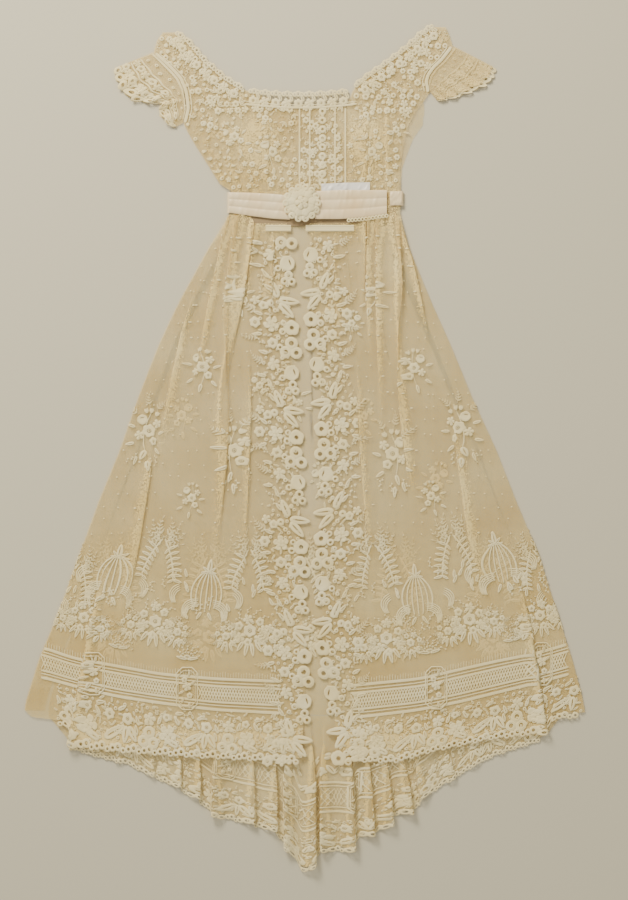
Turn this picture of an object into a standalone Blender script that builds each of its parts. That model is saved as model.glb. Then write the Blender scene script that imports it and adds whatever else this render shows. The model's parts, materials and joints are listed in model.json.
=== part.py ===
"""A lace wedding dress with a ribbon belt and a short train, laid flat on its back with its front up.

The dress lies on the plane z = 0. +Y runs from the hem to the neck, +X to the right of someone who
looks down at it. Lengths in the tables are millimetres. Every cloth piece is a grid of points on its
middle surface, thickened into a wall. Layers that lie on each other keep a small gap.
"""

import math
from collections import namedtuple

import bpy
import numpy as np

MM = 0.001
WALL = 1.2  # thickness of net, lace and ribbon walls
GAP = 0.3  # clearance between pieces that are sewn or laid together
LAYER = WALL + GAP  # from the middle of one wall to the middle of the next
FLOOR = WALL / 2  # middle height of a wall that rests on the ground
FRONT = 3.0  # middle height of the front layer where nothing lifts it
ON_TOP = LAYER + 0.15  # from a panel's middle to that of lace laid on it
SEAM_Y = -505.0  # the train is sewn to the back skirt along this line, under the front hem

# Side folds of the skirt, from the waist down.
Outline = namedtuple("Outline", "y left right")
SKIRT = (
    Outline(452, -142, 184),
    Outline(440, -144, 185),
    Outline(380, -182, 202),
    Outline(280, -237, 243),
    Outline(200, -275, 279),
    Outline(100, -314, 320),
    Outline(0, -349, 366),
    Outline(-100, -390, 405),
    Outline(-200, -426, 447),
    Outline(-300, -462, 479),
    Outline(-400, -503, 511),
    Outline(-480, -528, 532),
    Outline(-520, -533, 538),
)

# The two front edges of the skirt, which part below the belt.
Opening = namedtuple("Opening", "y left right")
FRONT_EDGES = (
    Opening(440, -20, 0),
    Opening(280, -17, 3),
    Opening(190, -10, 9),
    Opening(95, -10, 22),
    Opening(-60, 2, 31),
    Opening(-210, 5, 22),
    Opening(-290, 8, 25),
    Opening(-360, 10, 24),
    Opening(-476, 14, 43),
    Opening(-560, 8, 56),
    Opening(-600, 10, 58),
)

# Lower edge of the front skirt from side fold to side fold. A pleat steps it down near each side.
Hem = namedtuple("Hem", "x y")
FRONT_HEM = (
    Hem(-534, -503),
    Hem(-518, -519),
    Hem(-446, -527),
    Hem(-436, -566),
    Hem(-340, -576),
    Hem(-190, -586),
    Hem(0, -596),
    Hem(60, -592),
    Hem(174, -595),
    Hem(240, -576),
    Hem(350, -552),
    Hem(460, -540),
    Hem(472, -514),
    Hem(540, -510),
)

# Lower edge of the train.
TRAIN_HEM = (
    Hem(-437, -570),
    Hem(-400, -582),
    Hem(-335, -598),
    Hem(-290, -621),
    Hem(-244, -641),
    Hem(-202, -668),
    Hem(-164, -696),
    Hem(-121, -708),
    Hem(-57, -726),
    Hem(-20, -764),
    Hem(-3, -803),
    Hem(18, -782),
    Hem(34, -762),
    Hem(88, -764),
    Hem(105, -736),
    Hem(133, -733),
    Hem(174, -694),
    Hem(204, -690),
    Hem(245, -652),
    Hem(273, -631),
    Hem(333, -598),
    Hem(366, -580),
    Hem(462, -550),
)

# Soft folds: a ridge that runs from one point to another, with its greatest height and its half
# width at either end. Lean carries the crest sideways, as a pleat that has fallen over.
Fold = namedtuple("Fold", "x0 y0 x1 y1 height wide0 wide1 lean")
FRONT_FOLDS = (
    Fold(-128, 444, -196, 20, 8, 9, 26, -4),
    Fold(-106, 444, -158, -40, 10, 9, 24, -6),
    Fold(-142, 310, -176, -290, 7, 12, 28, 4),
    Fold(-104, 270, -122, -330, 5, 10, 20, 3),
    Fold(132, 444, 132, -20, 7, 9, 24, -4),
    Fold(158, 444, 172, -60, 9, 9, 24, 5),
    Fold(176, 330, 238, -190, 7, 12, 28, 4),
    Fold(98, 240, 134, -360, 5, 10, 22, -3),
    Fold(-286, 100, -372, -440, 6, 16, 34, 0),
    Fold(288, 100, 368, -440, 6, 16, 34, 0),
)

# Flutes of the train: where each crest meets the seam and the hem, its share of the full height
# and its half width at the hem.
Flute = namedtuple("Flute", "x_seam x_hem share wide")
FLUTES = (
    Flute(-392, -402, 0.35, 15),
    Flute(-340, -350, 0.45, 15),
    Flute(-286, -292, 0.55, 14),
    Flute(-240, -244, 0.75, 13),
    Flute(-206, -210, 0.85, 12),
    Flute(-158, -160, 1.00, 16),
    Flute(-106, -108, 0.85, 15),
    Flute(-66, -66, 0.90, 14),
    Flute(-26, -24, 0.95, 14),
    Flute(8, 8, 1.00, 14),
    Flute(44, 48, 0.90, 14),
    Flute(78, 86, 0.95, 13),
    Flute(108, 120, 0.90, 13),
    Flute(138, 154, 0.95, 13),
    Flute(166, 192, 1.00, 14),
    Flute(206, 234, 0.75, 14),
    Flute(252, 280, 0.60, 15),
    Flute(304, 328, 0.50, 15),
    Flute(356, 376, 0.40, 15),
    Flute(404, 418, 0.30, 15),
)
FLUTE_RISE = ((-803, 15), (-700, 14), (-590, 8), (-505, 0))  # (y, crest height)

# Bodice, from the waist up: the edge beside the centre panel or the neck, and the side, armhole
# and shoulder edge. The back reaches further out than the front under the right arm.
Bodice = namedtuple("Bodice", "y inner outer")
BODICE_LEFT = (
    Bodice(446, -8, -133),
    Bodice(490, -8, -136),
    Bodice(504, -8, -159),
    Bodice(530, -8, -175),
    Bodice(582, -8, -208),
    Bodice(605, -8, -221),
    Bodice(620, -8, -228),
    Bodice(645, -8, -222),
    Bodice(655, -30, -222),
    Bodice(676, -92, -225),
    Bodice(684, -115, -227),
    Bodice(705, -150, -236),
    Bodice(723, -171, -252),
    Bodice(740, -190, -270),
    Bodice(753, -201, -285),
    Bodice(777, -222, -278),
    Bodice(792, -244, -267),
)
BODICE_RIGHT = (
    Bodice(446, 80, 183),
    Bodice(490, 80, 182),
    Bodice(533, 80, 183),
    Bodice(573, 80, 189),
    Bodice(620, 80, 199),
    Bodice(645, 80, 216),
    Bodice(655, 84, 224),
    Bodice(678, 92, 240),
    Bodice(688, 98, 238),
    Bodice(699, 110, 236),
    Bodice(712, 127, 240),
    Bodice(726, 148, 250),
    Bodice(739, 165, 264),
    Bodice(754, 185, 276),
    Bodice(765, 199, 284),
    Bodice(786, 221, 277),
    Bodice(802, 244, 270),
)
BACK_CENTRE = 26.0  # x of the centre back seam
UNDERARM = ((446, 1), (533, 4), (591, 16), (617, 29), (645, 14), (660, 0))  # (y, reach)

# Cap sleeves: points on the armhole seam and the cuff edge beside them, from the shoulder down.
Sleeve = namedtuple("Sleeve", "seam_x seam_y cuff_x cuff_y")
SLEEVE_LEFT = (
    Sleeve(-285, 753, -356, 724),
    Sleeve(-270, 740, -352, 705),
    Sleeve(-252, 723, -341, 683),
    Sleeve(-236, 705, -318, 664),
    Sleeve(-227, 684, -290, 659),
    Sleeve(-224, 665, -268, 656),
    Sleeve(-222, 645, -271, 634),
    Sleeve(-228, 620, -246, 611),
)
SLEEVE_RIGHT = (
    Sleeve(284, 765, 362, 725),
    Sleeve(276, 754, 357, 711),
    Sleeve(264, 739, 346, 697),
    Sleeve(250, 726, 326, 686),
    Sleeve(240, 712, 305, 677),
    Sleeve(236, 699, 284, 669),
    Sleeve(238, 688, 267, 665),
    Sleeve(240, 678, 255, 662),
)

# Belt pieces on the front: the upper and lower edge at each place across.
Ribbon = namedtuple("Ribbon", "x low high")
BELT_LEFT = (Ribbon(-26, 436, 482), Ribbon(-60, 438, 485), Ribbon(-100, 443, 487), Ribbon(-141, 449, 488))
BELT_RIGHT = (Ribbon(22, 437, 490), Ribbon(70, 437, 492), Ribbon(120, 441, 492), Ribbon(158, 447, 492))
BELT_END = (Ribbon(164, 463, 490), Ribbon(186, 463, 490))
BELT_Y = (440.0, 494.0)  # between these the ribbon passes under the back
TAPE_Y = (424.0, 462.0)
ROSETTE = (-3.0, 467.0)
ROSETTE_RADIUS = 36.0


def smooth(share):
    """0 to 1 with level ends."""
    share = np.clip(share, 0.0, 1.0)
    return share * share * (3 - 2 * share)


def read(table, at, key, value):
    """The table's value column where its key column is at, straight between rows."""
    rows = sorted((getattr(row, key), getattr(row, value)) for row in table)
    return float(np.interp(at, *zip(*rows)))


def pairs(table, at):
    """The same for a table of plain (key, value) pairs."""
    return float(np.interp(at, *zip(*sorted(table))))


def bump(share):
    """A soft ridge's section: 1 at its crest, 0 from one half width away."""
    return math.cos(math.pi / 2 * share) ** 2 if abs(share) < 1 else 0.0


def near_belt(y, fade):
    """1 where the belt is, falling to 0 over a length above and below it."""
    away = max(TAPE_Y[0] - y, y - BELT_Y[1], 0.0)
    return float(smooth(1 - away / fade))


def back_height(y):
    """Middle height of the back layer, which passes over the belt's ribbon at the waist."""
    return FLOOR + LAYER * near_belt(y, 45)


def flute_height(y):
    return pairs(FLUTE_RISE, y)


def side_share(x, y):
    """0 at the skirt's side folds, 1 well inside them."""
    inside = min(x - read(SKIRT, y, "y", "left"), read(SKIRT, y, "y", "right") - x)
    return float(smooth((inside - 10) / 90))


def fold_at(fold, x, y):
    """(height, sideways shift) that one soft fold adds at a place."""
    share = (fold.y0 - y) / (fold.y0 - fold.y1)
    if not 0 < share < 1:
        return 0.0, 0.0
    crest = fold.x0 + (fold.x1 - fold.x0) * share
    wide = fold.wide0 + (fold.wide1 - fold.wide0) * share
    strength = float(smooth(share / 0.12) * smooth((1 - share) / 0.5)) * bump((x - crest) / wide)
    return fold.height * strength, fold.lean * strength


def front_point(x, y):
    """A point of the front skirt's middle surface."""
    height = FRONT + 2.4 * near_belt(y, 60) + flute_height(y) * side_share(x, y)
    shift = 0.0
    for fold in FRONT_FOLDS:
        up, aside = fold_at(fold, x, y)
        height += up
        shift += aside
    return x + shift, y, height


def back_point(x, y):
    """A point of the back skirt's or the train's middle surface."""
    height = back_height(y)
    hem = read(TRAIN_HEM, x, "x", "y")
    down = (SEAM_Y - y) / (SEAM_Y - hem) if y < SEAM_Y else 0.0
    for flute in FLUTES:
        crest = flute.x_seam + (flute.x_hem - flute.x_seam) * down
        wide = flute.wide * (0.85 + 0.15 * down)
        height += flute.share * flute_height(y) * bump((x - crest) / wide)
    return x, y, height


def material(name, colour, roughness, sheen=0.0):
    made = bpy.data.materials.new(name)
    made.use_nodes = True
    shader = made.node_tree.nodes["Principled BSDF"]
    shader.inputs["Base Color"].default_value = (*colour, 1)
    shader.inputs["Roughness"].default_value = roughness
    shader.inputs["Metallic"].default_value = 0.0
    shader.inputs["Sheen Weight"].default_value = sheen
    return made


def sheet(name, grid, cloth, wall=WALL):
    """A piece of cloth: rows of points on its middle surface, thickened to both sides."""
    rows, columns = len(grid), len(grid[0])
    points = [tuple(value * MM for value in point) for row in grid for point in row]
    faces = [
        (r * columns + c, r * columns + c + 1, (r + 1) * columns + c + 1, (r + 1) * columns + c)
        for r in range(rows - 1)
        for c in range(columns - 1)
    ]
    mesh = bpy.data.meshes.new(name)
    mesh.from_pydata(points, [], faces)
    mesh.materials.append(cloth)
    mesh.shade_smooth()
    piece = bpy.data.objects.new(name, mesh)
    bpy.context.scene.collection.objects.link(piece)
    piece.parent = DRESS
    thick = piece.modifiers.new("wall", "SOLIDIFY")
    thick.thickness = wall * MM
    thick.offset = 0
    return piece


def lerp(a, b, share):
    return a + (b - a) * share


def side_fold(x_side, z_top, z_low, outward, under, steps=4):
    """Points (x, z) round a side fold: from its outermost bend down and back under the cloth."""
    radius = (z_top - z_low) / 2
    turn = [math.pi / 2 - math.pi * step / steps for step in range(1, steps + 1)]
    bend = [(x_side + outward * radius * (math.cos(a) - 1), z_low + radius * (1 + math.sin(a))) for a in turn]
    return bend + [(x_side - outward * (radius + under * share), z_low) for share in (0.5, 1.0)]


def on_panel(grid, row, column, out):
    """A point a distance out from a panel, at a fractional row and column of its grid."""
    points = np.array(grid)
    r = min(int(row), len(points) - 2)
    c = min(int(column), len(points[0]) - 2)
    down, across = row - r, column - c
    a, b = points[r, c], points[r, c + 1]
    d, e = points[r + 1, c], points[r + 1, c + 1]
    place = (a * (1 - across) + b * across) * (1 - down) + (d * (1 - across) + e * across) * down
    normal = np.cross((b - a) + (e - d), (d - a) + (e - b))
    normal *= np.sign(normal[2]) / np.linalg.norm(normal)
    return tuple(place + normal * out)


# ---------------------------------------------------------------- skirt front

PANEL_ROWS = (0.0, 0.03, 0.08, 0.15, 0.24, 0.35, 0.47, 0.59, 0.7, 0.785, 0.84, 0.915, 1.0)
PANEL_COLUMNS = (0.0, 0.06, 0.13, 0.2, 0.27, 0.34, 0.42, 0.5, 0.58, 0.66, 0.74, 0.82, 0.9, 0.96)
UNDER = 40.0  # how far the front skirt reaches under itself past the side fold
SKIRT_TOP = 445.4


def front_panel(side):
    """The grid of one front skirt panel, from its front edge out to the side fold and under."""
    outward = -1 if side == "left" else 1
    grid = []
    for down in PANEL_ROWS:
        row = []
        for across in PANEL_COLUMNS:
            x, y = panel_place(side, across, down)
            row.append(front_point(x, y))
        y_side = lerp(SKIRT_TOP, read(FRONT_HEM, outward * 600, "x", "y"), down)
        x_side, top, low = side_bend(side, y_side)
        row.append((x_side - outward * (top - low) / 2, y_side, top))
        row += [(x, y_side, z) for x, z in side_fold(x_side, top, low, outward, turned_under(y_side))]
        grid.append(row)
    return grid


def side_bend(side, y):
    """The side fold at one length: its outermost x, and the heights it bends from and to."""
    x_side = read(SKIRT, y, "y", side)
    return x_side, front_point(x_side, y)[2], back_height(y)


def turned_under(y):
    """How far the front cloth lies under itself past the bend, less near the waist."""
    return UNDER * lerp(1.0, 0.4, (y + 520) / 966)


def panel_place(side, across, down):
    """(x, y) at a share of a front panel's width and of its length, laid between its four edges."""
    x_hem = lerp(read(FRONT_EDGES, -590, "y", side), read(SKIRT, -520, "y", side), across)
    y = lerp(panel_top(side, across), read(FRONT_HEM, x_hem, "x", "y"), down)
    x = lerp(read(FRONT_EDGES, y, "y", side), read(SKIRT, y, "y", side), across)
    return x, y


def panel_top(side, across):
    """The panel hangs from its casing, a little below the belt. Beyond the pleat it runs up under it."""
    return lerp(429, SKIRT_TOP, smooth((across - 0.5) / 0.16))


def panel_index(side, x, y):
    """The fractional row and column of a front panel's grid at a place on it."""
    front = read(FRONT_EDGES, y, "y", side)
    across = (x - front) / (read(SKIRT, y, "y", side) - front)
    x_hem = lerp(read(FRONT_EDGES, -590, "y", side), read(SKIRT, -520, "y", side), across)
    down = (panel_top(side, across) - y) / (panel_top(side, across) - read(FRONT_HEM, x_hem, "x", "y"))
    row = np.interp(down, PANEL_ROWS, range(len(PANEL_ROWS)))
    column = np.interp(across, PANEL_COLUMNS, range(len(PANEL_COLUMNS)))
    return float(row), float(column)


def strip(grid, rows, columns, out, edge=None):
    """A grid laid on a panel over spans of its rows and columns. Edge moves the first column."""
    made = []
    for row in rows:
        line = [np.array(on_panel(grid, row, column, out)) for column in columns]
        if edge:
            line[0] = line[0] + edge(row)
        made.append([tuple(point) for point in line])
    return made


def scallop(at, period, depth):
    """How far a row of scallops stands out at a length along the edge."""
    return depth * (abs(math.sin(math.pi * at / period)) - 0.5)


def spread(first, last, count):
    return [lerp(first, last, i / (count - 1)) for i in range(count)]


def skirt_front(side, net, lace):
    """One front panel, its casing, its scalloped edge border, its insertion band and hem border."""
    grid = front_panel(side)
    sheet("skirt_front_" + side, grid, net)
    last = len(PANEL_ROWS) - 1
    sheet("front_border_" + side, front_border(side, grid), lace)
    casing = strip(grid, (0.05, 0.85), spread(0.15, 7.0, 7), ON_TOP)
    sheet("skirt_casing_" + side, casing, net)
    columns = [2 + step / 2 for step in range(23)]
    sheet("insertion_" + side, strip(grid, (last - 1.83, last - 1.16), columns, ON_TOP), lace)
    sheet("hem_border_" + side, hem_border(grid, last), lace)


def front_border(side, grid):
    """The lace down the front edge, its outer edge in scallops, from the casing to the hem border."""
    outward = -1 if side == "left" else 1
    made = []
    for y in spread(398, -476, 36):
        line = []
        for inward in (-scallop(y, 100, 8), 24.0, 52.0):
            x = read(FRONT_EDGES, y, "y", side) + outward * max(inward, 0.0)
            place = on_panel(grid, *panel_index(side, x, y), ON_TOP)
            line.append((place[0] + outward * min(inward, 0.0), place[1], place[2]))
        made.append(line)
    return made


def hem_border(grid, last):
    """The hem's lace from the front edge to near the side fold, its lower edge in scallops."""
    made = []
    columns = [step / 4 for step in range(54)]
    for row in (last, last - 1):
        line = []
        for index, column in enumerate(columns):
            x, y, z = on_panel(grid, row, column, ON_TOP)
            line.append((x, y - (scallop(index, 4, 7) if row == last else 0.0), z))
        made.append(line)
    return made


# ---------------------------------------------------------------- skirt back and train


def back_edges(y):
    """Left and right edge of the back cloth, against the front's turned-under edges."""
    edges = []
    for side, outward in (("left", -1), ("right", 1)):
        x_side, top, low = side_bend(side, y)
        edges.append(x_side - outward * ((top - low) / 2 + turned_under(y) + GAP + 0.3))
    return edges


def skirt_back(net):
    """The back panel, flat on the ground between the two front panels' turned-under edges."""
    grid = []
    for down in PANEL_ROWS[:-1] + (0.9989,):
        y_left = lerp(SKIRT_TOP, read(FRONT_HEM, -600, "x", "y"), down)
        y_right = lerp(SKIRT_TOP, read(FRONT_HEM, 600, "x", "y"), down)
        if down > 0.99:
            y_left = y_right = SEAM_Y + GAP
        left, right = back_edges(y_left)[0], back_edges(y_right)[1]
        shares = spread(0, 1, 5)
        grid.append([back_point(lerp(left, right, s), lerp(y_left, y_right, s)) for s in shares])
    sheet("skirt_back", grid, net)


def train(lace):
    """The train's flounce, in flutes that rise towards its hem and show past the front hem."""
    grid = []
    seam_left, seam_right = back_edges(SEAM_Y)
    for down in (0.0, 0.3, 0.62, 1.0):
        row = []
        for share in spread(0, 1, 100):
            x_hem = lerp(TRAIN_HEM[0].x, TRAIN_HEM[-1].x, share)
            x = lerp(lerp(seam_left, seam_right, share), x_hem, down)
            y = lerp(SEAM_Y - GAP, read(TRAIN_HEM, x_hem, "x", "y"), down)
            row.append(back_point(x, y))
        grid.append(row)
    sheet("train_flounce", grid, lace)


# ---------------------------------------------------------------- bodice


def bodice_grid(table, height, columns, inner=None, reach=None):
    """A bodice panel between its inner and outer edge, row by row. Reach widens it at the outer edge."""
    grid = []
    outward = math.copysign(1, table[0].outer)
    for row in table:
        start = row.inner if inner is None else inner(row)
        end = row.outer + (outward * pairs(UNDERARM, row.y) if reach else 0.0)
        grid.append([(x, row.y, height(x, row.y)) for x in spread(start, end, columns)])
    return grid


def bodice_front_height(x, y):
    """The front lies on the back, with a soft swell where the cups of the bodice are cut."""
    swell = 5.0 * bump((y - 585) / 90) * (bump((x + 85) / 75) + bump((x - 120) / 75))
    return FRONT + 2.4 * near_belt(y, 60) + swell


def table_row(table, y):
    """The fractional row of a bodice panel's grid at a height up the body."""
    return float(np.interp(y, [row.y for row in table], range(len(table))))


def bodice(net, lace):
    """Front left and right, the centre panel between them, and the two halves of the back."""
    fronts = {}
    for side, table in (("left", BODICE_LEFT), ("right", BODICE_RIGHT)):
        fronts[side] = bodice_grid(table, bodice_front_height, 5)
        sheet("bodice_front_" + side, fronts[side], net)
        outward = math.copysign(1, table[0].outer)

        def back_inner(row, outward=outward):
            neck = row.inner if row.y > 660 else BACK_CENTRE + outward * GAP
            return neck + outward * (3.0 if row.y > 660 else 0.0)

        back = bodice_grid(table, lambda x, y: back_height(y), 3, back_inner, reach=side == "right")
        sheet("bodice_back_" + side, back, net)
    centre = [
        [(x, y, bodice_front_height(x, y)) for x in spread(-8 + GAP, 80 - GAP, 6)]
        for y in (446, 489, 530, 573, 605, 632, 655)
    ]
    sheet("bodice_centre", centre, lace)
    neck_borders(fronts, lace)
    armholes(fronts, lace)


def neck_borders(fronts, lace):
    """The lace round the neck: one length across the front and one up each shoulder."""
    across = spread(-104, 92, 22)
    low_edge = [(x, 649 + 0.0006 * (x + 6) ** 2) for x in across]
    top_edge = [(x, 672 + 0.0007 * (x + 6) ** 2 + scallop(i, 3, 4)) for i, x in enumerate(across)]
    edges = [[(x, y, bodice_front_height(x, y) + ON_TOP) for x, y in edge] for edge in (low_edge, top_edge)]
    sheet("neck_border_front", edges, lace)
    for side, table, first in (("left", BODICE_LEFT, 686), ("right", BODICE_RIGHT, 696)):
        grid = fronts[side]
        outward = -1 if side == "left" else 1

        def neck_edge(row, outward=outward):
            return np.array((-outward * 0.6, 0.8, 0)) * scallop(row * 3, 2.2, 5)

        rows = spread(table_row(table, first), len(grid) - 1.02, 20)
        sheet("neck_border_" + side, strip(grid, rows, (0.0, 0.9, 1.8), ON_TOP, neck_edge), lace)


def armholes(fronts, lace):
    """A narrow binding along each armhole seam of the front."""
    for side, table, low, high in (("left", BODICE_LEFT, 621, 752), ("right", BODICE_RIGHT, 679, 764)):
        rows = spread(table_row(table, low), table_row(table, high), 14)
        sheet("armhole_binding_" + side, strip(fronts[side], rows, (3.7, 3.98), ON_TOP), lace)


# ---------------------------------------------------------------- sleeves


def sleeve(side, table, lace):
    """A cap sleeve folded over the shoulder: its back half, the fold, and its front half."""
    outward = -1 if side == "left" else 1
    shares = spread(0, 1, 5)
    seam_gap = 0.9

    def line(row, z, droop):
        made = []
        for index, share in enumerate(shares):
            x = lerp(row.seam_x + outward * seam_gap, row.cuff_x, share)
            y = lerp(row.seam_y, row.cuff_y, share)
            ruffle = droop * (index % 2) * share
            made.append((x, y, z + ruffle))
        return made

    first = table[0]
    along = np.array((first.cuff_x - first.seam_x, first.cuff_y - first.seam_y))
    over = np.array((-along[1], along[0])) * math.copysign(1, along[0]) / np.linalg.norm(along)
    radius = (FRONT - FLOOR) / 2
    back = [line(row, FLOOR, 0.0) for row in reversed(table)]
    fold = []
    for angle in (-0.5, 0.0, 0.5):
        reach = over * radius * math.cos(angle * math.pi / 2)
        z = FLOOR + radius * (1 + math.sin(angle * math.pi / 2))
        fold.append([(x + reach[0], y + reach[1], z) for x, y, _ in line(first, 0, 0)])
    front = [line(row, FRONT, 4.0 * smooth(index / 3)) for index, row in enumerate(table)]
    sheet("sleeve_" + side, back + fold + front, lace)


# ---------------------------------------------------------------- belt


def ribbon_height(share, pleats):
    """Section of the pleated ribbon from its lower to its upper edge."""
    return 1.4 * math.sin(math.pi * share * pleats) ** 2


def ribbon(name, table, base, pleats, cloth, turn_under=0.0, samples=6):
    """A length of pleated ribbon across the front. It may turn under round the side of the waist."""
    grid = []
    for share in spread(0, 1, 2 * pleats + 1 if pleats else 3):
        row = []
        z = base + (ribbon_height(share, pleats) if pleats else 0.0)
        for x in spread(table[0].x, table[-1].x, samples):
            y = lerp(read(table, x, "x", "low"), read(table, x, "x", "high"), share)
            row.append((x, y, z))
        if turn_under:
            outward = math.copysign(1, table[-1].x)
            y = row[-1][1]
            radius = (z - FLOOR) / 2
            bend = side_fold(table[-1].x + outward * radius, z, FLOOR, outward, turn_under)
            row += [(x, y, height) for x, height in bend]
        grid.append(row)
    sheet(name, grid, cloth)


def rosette(cloth):
    """A gathered lace rosette over the belt's fastening: a domed disc with a waved rim."""
    grid = []
    base = FRONT + 2.4 + 2 * LAYER + 4.0
    for ring, reach in enumerate((0.16, 0.45, 0.72, 1.0)):
        row = []
        for step in range(19):
            angle = 2 * math.pi * step / 18
            wave = math.cos(6 * angle + 0.5)
            radius = ROSETTE_RADIUS * reach * (1 + 0.07 * wave * reach)
            z = base + 4.5 * (1 - reach) + 0.8 * wave * reach
            row.append((ROSETTE[0] + radius * math.cos(angle), ROSETTE[1] + radius * math.sin(angle), z))
        grid.append(row)
    piece = sheet("belt_rosette", grid, cloth)
    weld = piece.modifiers.new("close the ring", "WELD")
    weld.merge_threshold = 0.00001
    piece.modifiers.move(1, 0)


def belt(ribbon_cloth, satin, tape_cloth, lace):
    """The ribbon belt round the waist, the stay tape inside it, and the rosette on its front."""
    front = FRONT + 2.4 + LAYER + 0.2
    ribbon("belt_left", BELT_LEFT, front, 3, ribbon_cloth, turn_under=8)
    ribbon("belt_right", BELT_RIGHT, front + LAYER, 3, ribbon_cloth)
    ribbon("belt_end", BELT_END, front, 1, ribbon_cloth, turn_under=8, samples=3)
    satin_fold = (Ribbon(34, 480, 504), Ribbon(80, 480, 506), Ribbon(126, 480, 507))
    ribbon("belt_satin_fold", satin_fold, front, 0, satin)
    edging = (Ribbon(84, 431, 437.5), Ribbon(118, 434, 440.3), Ribbon(158, 440, 446.5))
    ribbon("belt_edging", edging, front + LAYER, 0, lace)
    back = (Ribbon(-132.4, 444, 489), Ribbon(20, 440, 491), Ribbon(177.4, 463, 490))
    ribbon("belt_back", back, FLOOR, 0, ribbon_cloth)
    tape = (Ribbon(-126, 430, 462), Ribbon(-10, *TAPE_Y), Ribbon(176, 432, 462))
    ribbon("waist_tape", tape, back_height(450) + LAYER, 0, tape_cloth)
    rosette(lace)


for old in list(bpy.data.objects):
    bpy.data.objects.remove(old)

DRESS = bpy.data.objects.new("dress", None)
bpy.context.scene.collection.objects.link(DRESS)

NET = material("cream cotton net", (0.72, 0.62, 0.43), 0.8)
LACE = material("cream cotton lace", (0.80, 0.71, 0.50), 0.75)
RIBBON = material("cream silk ribbon", (0.88, 0.78, 0.58), 0.35, sheen=0.3)
SATIN = material("white silk satin", (0.90, 0.87, 0.80), 0.3, sheen=0.3)
TAPE = material("tan grosgrain tape", (0.50, 0.42, 0.27), 0.8)

for panel_side in ("left", "right"):
    skirt_front(panel_side, NET, LACE)
skirt_back(NET)
train(LACE)
bodice(NET, LACE)
sleeve("left", SLEEVE_LEFT, LACE)
sleeve("right", SLEEVE_RIGHT, LACE)
belt(RIBBON, SATIN, TAPE, LACE)
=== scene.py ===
# %% [markdown]
# # A lace wedding dress, laid flat
# The dress is sheer cotton net with applied lace flowers, a pleated silk belt and a short fluted train.
# Everything is made in millimetres on the plane of the ground, and only the last step turns it to metres.

import json
import math
from collections import namedtuple

import bpy
import numpy as np
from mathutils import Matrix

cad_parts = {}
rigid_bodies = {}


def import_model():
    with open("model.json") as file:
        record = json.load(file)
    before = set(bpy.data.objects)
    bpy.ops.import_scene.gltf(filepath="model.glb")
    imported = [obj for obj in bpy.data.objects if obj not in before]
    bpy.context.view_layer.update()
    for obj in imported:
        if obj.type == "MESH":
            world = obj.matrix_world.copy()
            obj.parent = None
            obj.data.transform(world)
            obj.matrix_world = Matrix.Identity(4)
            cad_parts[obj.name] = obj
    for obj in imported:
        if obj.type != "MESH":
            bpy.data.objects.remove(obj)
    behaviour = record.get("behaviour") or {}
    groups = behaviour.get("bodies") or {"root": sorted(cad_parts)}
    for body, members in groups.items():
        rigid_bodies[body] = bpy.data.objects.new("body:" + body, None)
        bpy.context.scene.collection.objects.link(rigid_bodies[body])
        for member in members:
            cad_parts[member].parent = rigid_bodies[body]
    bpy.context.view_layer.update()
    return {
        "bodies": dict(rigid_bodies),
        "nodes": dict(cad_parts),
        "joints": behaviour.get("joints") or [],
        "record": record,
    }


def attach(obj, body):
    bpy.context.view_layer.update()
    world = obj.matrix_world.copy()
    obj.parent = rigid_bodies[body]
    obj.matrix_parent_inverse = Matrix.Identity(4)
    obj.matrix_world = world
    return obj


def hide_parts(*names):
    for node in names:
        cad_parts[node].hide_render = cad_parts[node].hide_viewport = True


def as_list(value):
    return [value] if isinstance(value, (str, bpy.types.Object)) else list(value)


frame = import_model()
MM = 0.001
print("frame nodes:", len(frame["nodes"]))

# %% [markdown]
# ## The cut of the dress
# A pattern cutter starts from outlines, so this does too. Each table has a row for each place where the
# outline turns. Reading between the rows and averaging over a few millimetres gives a line with soft
# corners, as cloth has. Splines would also do, but they overshoot where two rows are close.

# %% Outlines of the skirt
Outline = namedtuple("Outline", "y left right")
SIDES = (
    Outline(460, -142, 184),
    Outline(440, -144, 185),
    Outline(380, -182, 202),
    Outline(280, -237, 243),
    Outline(200, -275, 279),
    Outline(100, -314, 320),
    Outline(0, -349, 366),
    Outline(-100, -390, 405),
    Outline(-200, -426, 447),
    Outline(-300, -462, 479),
    Outline(-400, -503, 511),
    Outline(-480, -528, 532),
    Outline(-520, -533, 538),
)
FRONT_EDGES = (
    Outline(440, -20, 0),
    Outline(280, -17, 3),
    Outline(190, -10, 9),
    Outline(95, -10, 22),
    Outline(-60, 2, 31),
    Outline(-210, 5, 22),
    Outline(-290, 8, 25),
    Outline(-360, 10, 24),
    Outline(-476, 14, 43),
    Outline(-560, 8, 56),
    Outline(-600, 10, 58),
)
Edge = namedtuple("Edge", "x y")
FRONT_HEM = (
    Edge(-534, -503),
    Edge(-518, -519),
    Edge(-446, -527),
    Edge(-436, -566),
    Edge(-340, -576),
    Edge(-190, -586),
    Edge(0, -596),
    Edge(60, -592),
    Edge(174, -595),
    Edge(240, -576),
    Edge(350, -552),
    Edge(460, -540),
    Edge(472, -514),
    Edge(540, -510),
)
TRAIN_HEM = (
    Edge(-437, -570),
    Edge(-400, -582),
    Edge(-335, -598),
    Edge(-290, -621),
    Edge(-244, -641),
    Edge(-202, -668),
    Edge(-164, -696),
    Edge(-121, -708),
    Edge(-57, -726),
    Edge(-20, -764),
    Edge(-3, -803),
    Edge(18, -782),
    Edge(34, -762),
    Edge(88, -764),
    Edge(105, -736),
    Edge(133, -733),
    Edge(174, -694),
    Edge(204, -690),
    Edge(245, -652),
    Edge(273, -631),
    Edge(333, -598),
    Edge(366, -580),
    Edge(462, -550),
)
Band = namedtuple("Band", "x top low")
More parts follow.
